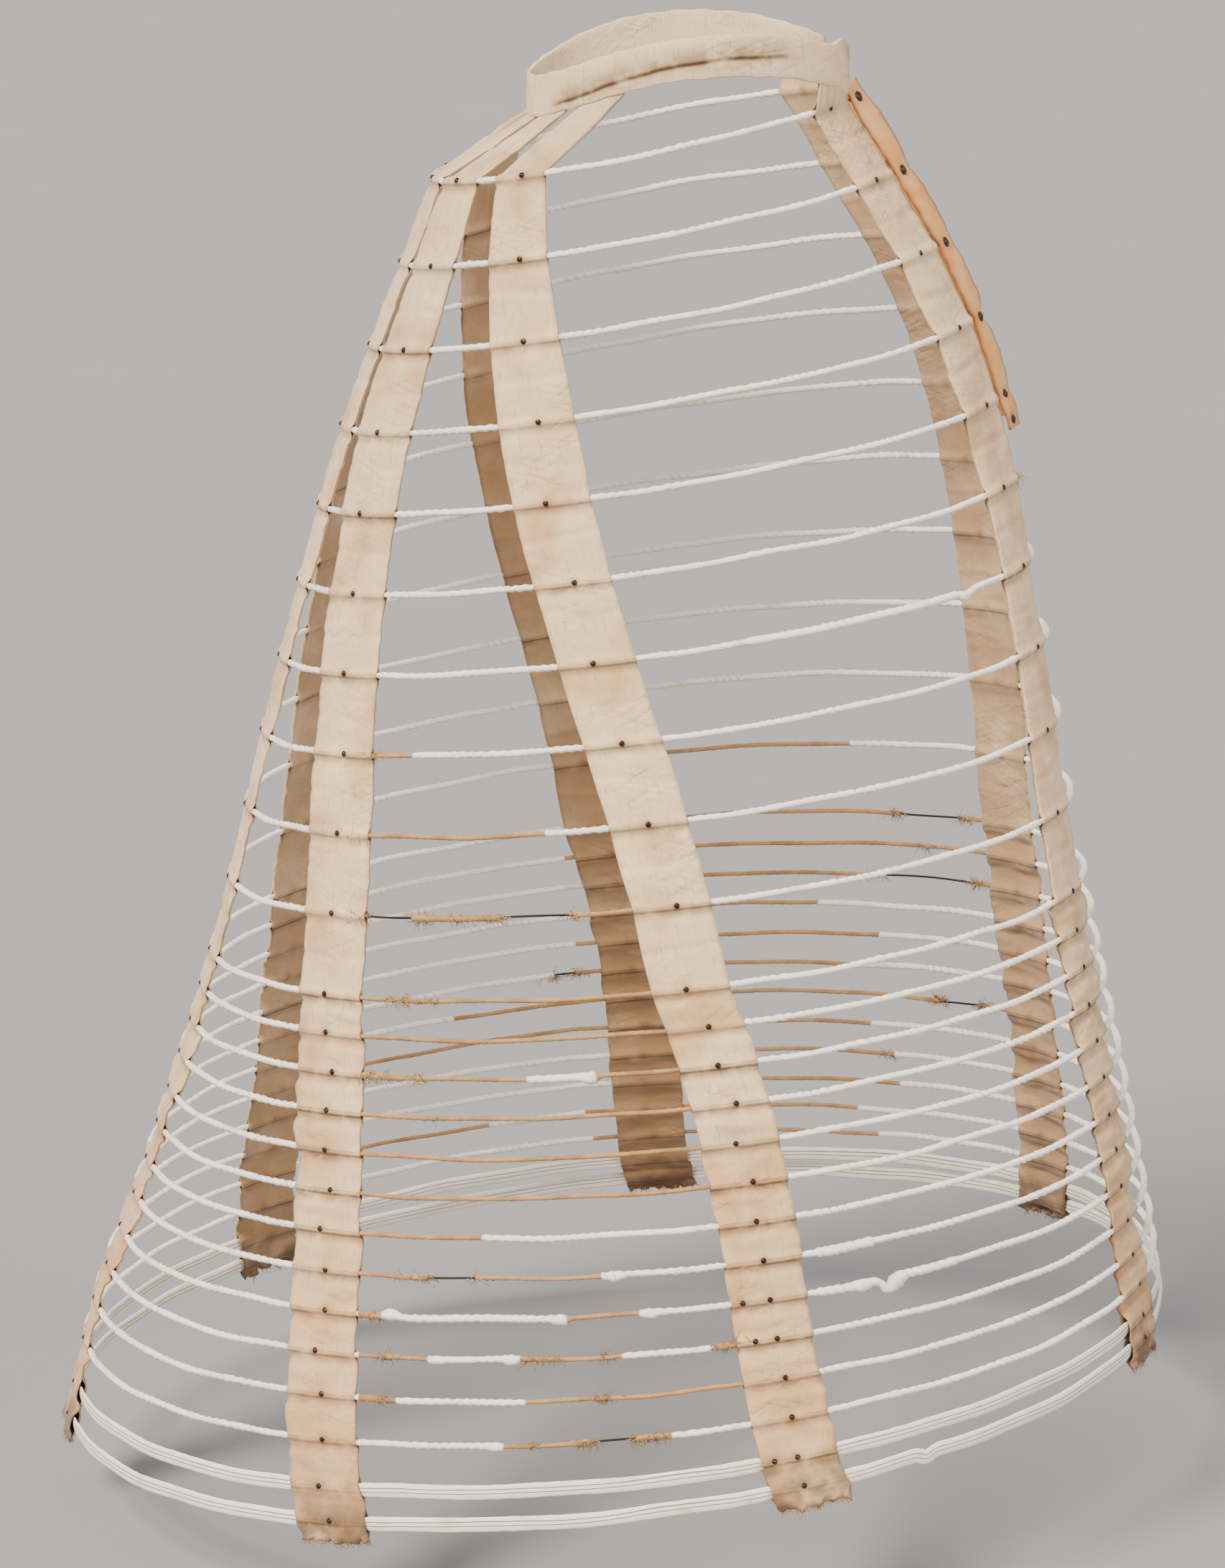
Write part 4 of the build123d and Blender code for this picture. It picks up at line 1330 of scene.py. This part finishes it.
# %% Leather strips and their studs
FACING_THICKNESS, FACING_LIFT = 1.5 * MILLIMETRE, 1.9 * MILLIMETRE
EDGE_WAVE, EDGE_WAVES = 1.2 * MILLIMETRE, (0.05, 0.031, 0.014)
TAPE_EDGE_BULGE, TAPE_EDGE_DIP_SHARE = 1.2 * MILLIMETRE, 0.6
FRONT_EDGE_BULGE, FRONT_EDGE_DIP_SHARE = 5.0 * MILLIMETRE, 0.3
LIFT_WAVE, LIFT_WAVES, PUFF_HEIGHT = 0.9 * MILLIMETRE, (0.045, 0.022), 1.4 * MILLIMETRE
TORN_HOOP, TEAR_DEPTH, TEAR_REACH = 4, 7 * MILLIMETRE, 6 * MILLIMETRE
STUD_DARK_REACH = 3.5 * MILLIMETRE
FACING_SEEDS = {"left": 31, "right": 32}
stud_sizes = {
    "Radius": 2.4 * MILLIMETRE, "Height": 2.0 * MILLIMETRE,
    "Washer Radius": 4.0 * MILLIMETRE, "Washer Height": 0.8 * MILLIMETRE, "Material": stud_metal,
}


def wavy_facing(side):
    """The two faces of a facing, the directions off it, its rows' lengths and those of its studs."""
    rng = np.random.default_rng(FACING_SEEDS[side])
    points, places, stud_runs = facing_points(side)
    normals = outward_normals(points)
    across = unit(np.gradient(points, axis=1))
    between = np.abs(np.sin(math.pi * np.interp(places, stud_runs, np.arange(len(stud_runs)))))
    tape_edge = EDGE_WAVE * wander(rng, places, EDGE_WAVES)
    tape_edge = tape_edge + TAPE_EDGE_BULGE * (between - TAPE_EDGE_DIP_SHARE)
    free_edge = EDGE_WAVE * wander(rng, places, EDGE_WAVES)
    free_edge = free_edge + FRONT_EDGE_BULGE * (between - FRONT_EDGE_DIP_SHARE)
    if side == "right":
        torn = np.exp(-(((places - stud_runs[TORN_HOOP - 1]) / TEAR_REACH) ** 2))
        free_edge = free_edge - TEAR_DEPTH * torn
    toward_front, toward_tape = np.clip(2 * facing_shares, 0, 1), np.clip(-2 * facing_shares, 0, 1)
    widen = free_edge[:, None] * toward_front[None, :] - tape_edge[:, None] * toward_tape[None, :]
    points = points + across * widen[:, :, None]
    lift = LIFT_WAVE * np.abs(wander(rng, places, LIFT_WAVES))[:, None] * np.abs(2 * facing_shares)[None, :]
    lift = lift + PUFF_HEIGHT * between[:, None] * np.cos(math.pi * facing_shares)[None, :]
    near = points + normals * (FACING_LIFT + lift)[:, :, None]
    return near, near + normals * FACING_THICKNESS, normals, places, stud_runs


for side in ("left", "right"):
    near, far, normals, places, stud_runs = wavy_facing(side)
    rim = np.repeat((np.abs(2 * facing_shares) ** 5)[None, :], len(places), axis=0)
    # the leather is drawn darker red round each stud
    for run in stud_runs:
        from_stud = np.hypot((places - run)[:, None], facing_shares * FACING_WIDTH)
        rim = np.maximum(rim, np.exp(-from_stud / STUD_DARK_REACH))
    flat = np.stack(np.broadcast_arrays(facing_shares[None, :] * FACING_WIDTH, places[:, None]), axis=-1)
    strip = sheet_mesh(f"leather_facing_{side}", near, far, flat, {"rim": rim}, facing_leather)
    settled(strip, "facing_leather", f"facing_{side}")
    rows = [int(np.argmin(np.abs(places - run))) for run in stud_runs]
    middle = FACING_COLUMNS // 2
    studs = [(far[row, middle], normals[row, middle]) for row in rows]
    set_heads(f"stud_heads_{side}", studs, stud_sizes, "stud_metal", f"facing_studs_{side}")
    print(f"{side} facing: {places[-1]:.3f} m long, {len(studs)} studs")

# %% [markdown]
# ## The waistband
#
# The band is a strip of the same cotton, folded lengthwise. Its lower part is turned up over the rest,
# which leaves a crease that climbs from the lower edge at the back to the middle at the front; its dark
# line and the soft band round it are partly stain and partly painted shadow. Its front ends are ragged, and
# the right one has a corner that stands up. A grid of heights by places round the waist gives both faces,
# with one row of points kept along the crease so that it stays sharp.

# %% The band's line and where its crease runs
BAND_STEP, BAND_FINE_POINTS = 2.5 * MILLIMETRE, 2001
BAND_SIDE_POINTS, CREASE_ROW_SHARE = 31, 0.32
CREASE_START_SHARE, CREASE_END_SHARE = -0.33, 0.0
CREASE_CLIMB_SHARES = (0.14, 0.64)
CREASE_FADE_SHARES = (0.13, 0.18, 0.58, 0.70)


def band_angles():
    """Angles along the band from its left end to its right end, and the length up to each."""
    oval = ovals[0]
    first = tape_angle("front_left", 0)
    first -= math.degrees((tape_width_at(0) / 2 + EDGE_CLEARANCE) / oval.speed(first))
    fine = np.linspace(first, 360 - first, BAND_FINE_POINTS)
    run = run_along(oval.point(fine))
    places = np.linspace(0, run[-1], round(run[-1] / BAND_STEP))
    return np.interp(places, run, fine), places


angles, places = band_angles()
turn = np.radians(angles)
outward = np.stack(
    (np.cos(turn) / WAIST_HALF_LENGTH, np.sin(turn) / WAIST_HALF_WIDTH, np.zeros(len(turn))), axis=-1
)
outward = unit(outward)[:, None, :]
to_front = np.abs(angles - BACK_DEGREES) / BACK_DEGREES
crease_share = np.interp(to_front, CREASE_CLIMB_SHARES, (CREASE_START_SHARE, CREASE_END_SHARE))[:, None]
fade = np.interp(to_front, CREASE_FADE_SHARES, (0, 1, 1, 0))[:, None]
rows = np.linspace(0, 1, BAND_SIDE_POINTS)[None, :]
under_crease = -0.5 + rows / CREASE_ROW_SHARE * (crease_share + 0.5)
over_crease = crease_share + (rows - CREASE_ROW_SHARE) / (1 - CREASE_ROW_SHARE) * (0.5 - crease_share)
heights = np.where(rows < CREASE_ROW_SHARE, under_crease, over_crease)
crease_away = (heights - crease_share) * BAND_HEIGHT
print(f"waistband: {places[-1]:.3f} m long,", heights.shape, "points on each face")

# %% Both faces of the band
BAND_SEED = 41
BAND_EDGE_WAVE, BAND_EDGE_WAVES = 1.1 * MILLIMETRE, (0.11, 0.043, 0.019)
BAND_FACE_WAVE, BAND_FACE_WAVES = 0.7 * MILLIMETRE, (0.07, 0.033, 0.017)
BAND_RAGGED, BAND_RAGGED_REACH, BAND_RAGGED_WAVES = 3.0 * MILLIMETRE, 8 * MILLIMETRE, (0.009, 0.006, 0.004)
RAGGED_ABOVE_SHARE, ROUNDED_SHARE = 0.2, 0.35
EAR_HEIGHT, EAR_PLACE, EAR_REACH = 7 * MILLIMETRE, 9 * MILLIMETRE, 8 * MILLIMETRE
EAR_BELOW_SHARE, EAR_STEEPNESS = 0.1, 2.5
CREASE_DEPTH, CREASE_REACH = 0.8 * MILLIMETRE, 1.4 * MILLIMETRE
TURNED_UP_HEIGHT, TURNED_UP_REACH = 0.5 * MILLIMETRE, 0.5 * MILLIMETRE

rng = np.random.default_rng(BAND_SEED)
edge_waves = [BAND_EDGE_WAVE * wander(rng, places, BAND_EDGE_WAVES)[:, None] for _ in range(2)]
ends = np.minimum(places, places[-1] - places)[:, None]
ragged = BAND_RAGGED * np.exp(-ends / BAND_RAGGED_REACH)
ragged = ragged * wander(rng, places, BAND_RAGGED_WAVES)[:, None]
face_wave = BAND_FACE_WAVE * np.abs(wander(rng, places, BAND_FACE_WAVES))[:, None]
ear = EAR_HEIGHT * np.exp(-(((places[-1] - places - EAR_PLACE) / EAR_REACH) ** 2))[:, None]
tall = heights * BAND_HEIGHT + edge_waves[0] * (heights + 0.5) + edge_waves[1] * (0.5 - heights)
tall = tall + ragged * (heights > RAGGED_ABOVE_SHARE)
tall = tall + ear * EAR_STEEPNESS * np.clip(heights + EAR_BELOW_SHARE, 0, 1) ** 2
half_thickness = BAND_THICKNESS / 2 * (1 - ROUNDED_SHARE * (2 * np.abs(heights)) ** 6)
crease = CREASE_DEPTH * fade * np.exp(-((crease_away / CREASE_REACH) ** 2))
turned_up = TURNED_UP_HEIGHT * fade / (1 + np.exp(crease_away / TURNED_UP_REACH))
outer_off = half_thickness + face_wave * np.cos(math.pi * heights) + turned_up - crease
base = ovals[0].point(angles)[:, None, :] + np.stack(np.broadcast_arrays(0.0, 0.0, tall), axis=-1)
outer, inner = base + outward * outer_off[:, :, None], base - outward * half_thickness[:, :, None]
print(f"its faces are {BAND_THICKNESS / MILLIMETRE:.1f} mm apart, and its corner stands {EAR_HEIGHT} m up")

# %% The band as a sheet
END_SOIL, END_SOIL_REACH = 0.6, 10 * MILLIMETRE
CREASE_STAIN_AND_SHADOW, CREASE_STAIN_AND_SHADE_SPREAD = 1.1, 0.55
# partly stain and partly painted shadow: a dark line along the crease and a soft painted shade round it, on
# the outer face only
flat = np.stack(np.broadcast_arrays(places[:, None], heights * BAND_HEIGHT), axis=-1)
values = {
    "stain": np.zeros_like(heights),
    "soil": np.repeat(END_SOIL * np.exp(-ends / END_SOIL_REACH), BAND_SIDE_POINTS, axis=1),
    "below_hoop": CREASE_STAIN_AND_SHADE_SPREAD * crease_away + STAIN_AND_SHADOW_OFFSET,
    "line": CREASE_STAIN_AND_SHADOW * np.repeat(fade, BAND_SIDE_POINTS, axis=1),
}
band = sheet_mesh("waist_cloth", outer, inner, flat, values, band_cotton, front_only=("line",))
settled(band, "band_cotton", "waistband")
print("waistband made of", len(band.data.polygons), "faces")

# %% [markdown]
# ## Frayed covers and loose threads
#
# Where a cover is broken its braid has come apart into stiff tufts, and threads hang from the cut ends
# of the tapes. Each thread is a short wandering line. A geometry tree gives all of them a thin round
# section at once. The random draws have a fixed seed, so the tufts are the same in every run.

# %% The tree that thickens threads
THREAD_POINTS, THREAD_SIDES, TIP_SHARE = 6, 4, 0.35


def thread_tree():
    """A thin round section along every line of a mesh."""
    tree, given, output = shape_tree("threads", (("Sides", "Int"), ("Material", "Material")))
    line = node(tree, "GeometryNodeMeshToCurve", {"Mesh": given["Geometry"]}).outputs[0]
    radius = attribute(tree, "thread_radius")
    ring = node(tree, "GeometryNodeCurvePrimitiveCircle", {"Resolution": given["Sides"], "Radius": 1.0})
    sources = {"Curve": line, "Profile Curve": ring.outputs["Curve"], "Scale": radius, "Fill Caps": True}
    tube = node(tree, "GeometryNodeCurveToMesh", sources).outputs[0]
    finished(tree, tube, output, given["Material"])
    return tree


threads = thread_tree()
print("the tree of threads has", len(threads.nodes), "nodes")


# %% Loose threads
def thread(rng, start, direction, length, radius, curl, sag):
    """Points and radii of one loose thread that sets out in a direction, wanders and sags."""
    points, heading = [np.array(start)], np.array(direction, dtype=float)
    for _ in range(THREAD_POINTS - 1):
        heading = unit(heading + rng.normal(0, curl, 3) + np.array((0, 0, -sag)))
        points.append(points[-1] + heading * length / (THREAD_POINTS - 1))
    return points, np.linspace(radius, TIP_SHARE * radius, THREAD_POINTS)


def thread_piece(name, made, material, slot):
    """Makes all the threads of a list one piece."""
    points = np.concatenate([line for line, _ in made])
    radii = np.concatenate([radius for _, radius in made])
    edges = [
        (t * THREAD_POINTS + i, t * THREAD_POINTS + i + 1)
        for t in range(len(made)) for i in range(THREAD_POINTS - 1)
    ]
    mesh = bpy.data.meshes.new(name)
    mesh.from_pydata(points.tolist(), edges, [])
    with_attributes(mesh, {"thread_radius": radii})
    piece = baked(name, mesh, threads, {"Sides": THREAD_SIDES, "Material": material})
    settled(piece, slot)


print("a loose thread has", THREAD_POINTS, "points and", THREAD_SIDES, "sides")

# %% Tufts on the hoops, by columns of the photograph
NEAR_TUFTS = (
    (8, 520, 14), (9, 500, 16), (10, 505, 22), (10, 590, 34), (10, 640, 26), (10, 688, 34), (10, 802, 26),
    (11, 545, 16), (11, 565, 30), (11, 600, 12), (13, 515, 34), (13, 535, 20), (13, 580, 22), (14, 600, 6),
    (18, 560, 10), (18, 592, 26), (18, 664, 12), (19, 522, 30), (20, 540, 22), (20, 745, 20), (20, 765, 18),
    (20, 840, 16), (20, 1010, 30), (20, 1032, 46), (21, 530, 24), (21, 840, 26), (22, 740, 14),
    (22, 822, 40), (22, 890, 30), (22, 915, 30),
)
FAR_TUFTS = (
    (11, 1248, 36), (11, 1346, 30), (12, 1290, 18), (13, 1222, 28), (13, 1362, 34),
    (16, 768, 30), (16, 802, 22), (17, 1308, 36), (17, 1374, 36), (19, 1235, 20),
)
BARE_END_FIBRES, FIBRE_DENSITY, TUFT_HEADING_STEP = 24, 2, 0.1
TUFT_SPREAD, FIBRE_OFFSET, FIBRE_RADIUS = 3.5 * MILLIMETRE, 1.2 * MILLIMETRE, 0.36 * MILLIMETRE
FIBRE_LENGTHS, FIBRE_CURL, FIBRE_SAG = (3 * MILLIMETRE, 11 * MILLIMETRE), 0.5, 0.12
FIBRE_ALONG_SHARES, FIBRE_OFF_SHARES = (0.8, 1.5), (0.2, 0.7)
FRAYED_TAN, FRAYED_BROWN = (0.42, 0.25, 0.10), (0.24, 0.125, 0.045)
TUFT_SEED = 51
braid_fibre = tape_finish("frayed_braid", FRAYED_TAN, FRAYED_BROWN)


def tuft(rng, place, along, count):
    """A tuft of short stiff fibres round one place of a hoop, which runs along a direction there."""
    made = []
    for _ in range(FIBRE_DENSITY * count):
        start = place + along * rng.normal(0, TUFT_SPREAD)
        way = along * rng.choice((-1, 1))
        off = unit(rng.normal(0, 1, 3))
        direction = way * rng.uniform(*FIBRE_ALONG_SHARES) + off * rng.uniform(*FIBRE_OFF_SHARES)
        start, length = start + off * FIBRE_OFFSET, rng.uniform(*FIBRE_LENGTHS)
        made.append(thread(rng, start, direction, length, FIBRE_RADIUS, FIBRE_CURL, FIBRE_SAG))
    return made


rng = np.random.default_rng(TUFT_SEED)
fibres = []
for side, table in (("near", NEAR_TUFTS), ("far", FAR_TUFTS)):
    for number, column, count in table:
        angle = angle_at(number, column, side)
        place, ahead = ovals[number].point(np.array((angle, angle + TUFT_HEADING_STEP)))
        fibres += tuft(rng, place, unit(ahead - place), count)
for tape, sign in (("front_left", -1), ("front_right", 1)):
    reach = tape_width_at(OPEN_HOOPS) / 2 + np.array((-1, 1)) * MILLIMETRE
    place, ahead = beside_tape(tape, OPEN_HOOPS, sign * reach)
    fibres += tuft(rng, ahead, unit(ahead - place), BARE_END_FIBRES)
thread_piece("frayed_fibres", fibres, braid_fibre, "hoop_cover")
print(len(fibres), "fibres in", len(NEAR_TUFTS) + len(FAR_TUFTS), "tufts")

# %% Threads at the tape ends
END_THREADS, END_THREAD_SEED = 80, 61
END_THREAD_LENGTHS, END_THREAD_RADIUS = (3 * MILLIMETRE, 9 * MILLIMETRE), 0.3 * MILLIMETRE
END_THREAD_ROOT, END_THREAD_SPREAD, END_THREAD_LIFT = 1.5 * MILLIMETRE, 0.5, 0.3
END_THREAD_CURL, END_THREAD_SAG = 0.45, 0.1
rng = np.random.default_rng(END_THREAD_SEED)
ends = []
for tape in TAPES:
    row, down, off = tape_ends[tape]
    for _ in range(END_THREADS):
        place = rng.uniform(0, COLUMNS - 1)
        start = [np.interp(place, np.arange(COLUMNS), row[:, axis]) for axis in range(3)]
        near = int(round(place))
        direction = down[near] + rng.normal(0, END_THREAD_SPREAD, 3)
        direction = direction + off[near] * rng.normal(0, END_THREAD_LIFT)
        start = np.array(start) - down[near] * END_THREAD_ROOT
        length = rng.uniform(*END_THREAD_LENGTHS)
        looseness = END_THREAD_CURL, END_THREAD_SAG
        ends.append(thread(rng, start, direction, length, END_THREAD_RADIUS, *looseness))
thread_piece("tape_end_threads", ends, braid_fibre, "tape_cotton")
print(len(ends), "threads at the tape ends;", triangles(pieces), "triangles in", len(pieces), "pieces")

# %% [markdown]
# ## Floor and light
#
# The cage hangs from the waist a little above a plain pale floor. Two broad sun lamps light it: a strong
# one high on the camera's left and a weaker, softer one on its right, so that the near tapes are bright
# and the inner faces of the far ones fall into shade. A dim sky fills the shadows.

# %% Plain floor and soft studio light
FLOOR_SIZE, FLOOR_GAP = 60.0, 0.05
FLOOR_COLOUR, FLOOR_WORN = (0.30, 0.294, 0.285), (0.281, 0.275, 0.266)
FLOOR_ROUGHNESS, FLOOR_CLOUDS = 0.9, 3.0
SKY_COLOUR, SKY_STRENGTH = (0.9, 0.92, 1.0, 1.0), 0.7
floor_mesh = bpy.data.meshes.new("floor")
half, level = FLOOR_SIZE / 2, cad_box[0][2] - FLOOR_GAP
corners = [(-half, -half, level), (half, -half, level), (half, half, level), (-half, half, level)]
floor_mesh.from_pydata(corners, [], [(0, 1, 2, 3)])
floor = placed("floor", floor_mesh)
floor_finish, tree, shader = finish_tree("pale_floor", FLOOR_ROUGHNESS)
floor_shade = mixed(tree, noise(tree, FLOOR_CLOUDS), FLOOR_COLOUR, FLOOR_WORN)
tree.links.new(floor_shade, shader.inputs["Base Color"])
floor_mesh.materials.append(floor_finish)

LIGHTS = (
    ("key_light", (-2.6, -2.6, 3.6), 20.0, 6.6, (1.0, 0.95, 0.88)),
    ("fill_light", (2.8, -2.6, 1.6), 40.0, 1.7, (1.0, 0.97, 0.93)),
)
for name, place, spread, strength, colour in LIGHTS:
    lamp = bpy.data.lights.new(name, "SUN")
    lamp.angle, lamp.energy, lamp.color = math.radians(spread), strength, colour
    holder = bpy.data.objects.new(name, lamp)
    holder.location = place
    holder.rotation_euler = (-Vector(place)).to_track_quat("-Z", "Y").to_euler()
    bpy.context.scene.collection.objects.link(holder)
sky = bpy.data.worlds.new("studio")
sky.use_nodes = True
sky.node_tree.nodes["Background"].inputs["Color"].default_value = SKY_COLOUR
sky.node_tree.nodes["Background"].inputs["Strength"].default_value = SKY_STRENGTH
bpy.context.scene.world = sky
print("floor at", round(level, 3), "m,", len(LIGHTS), "lights")
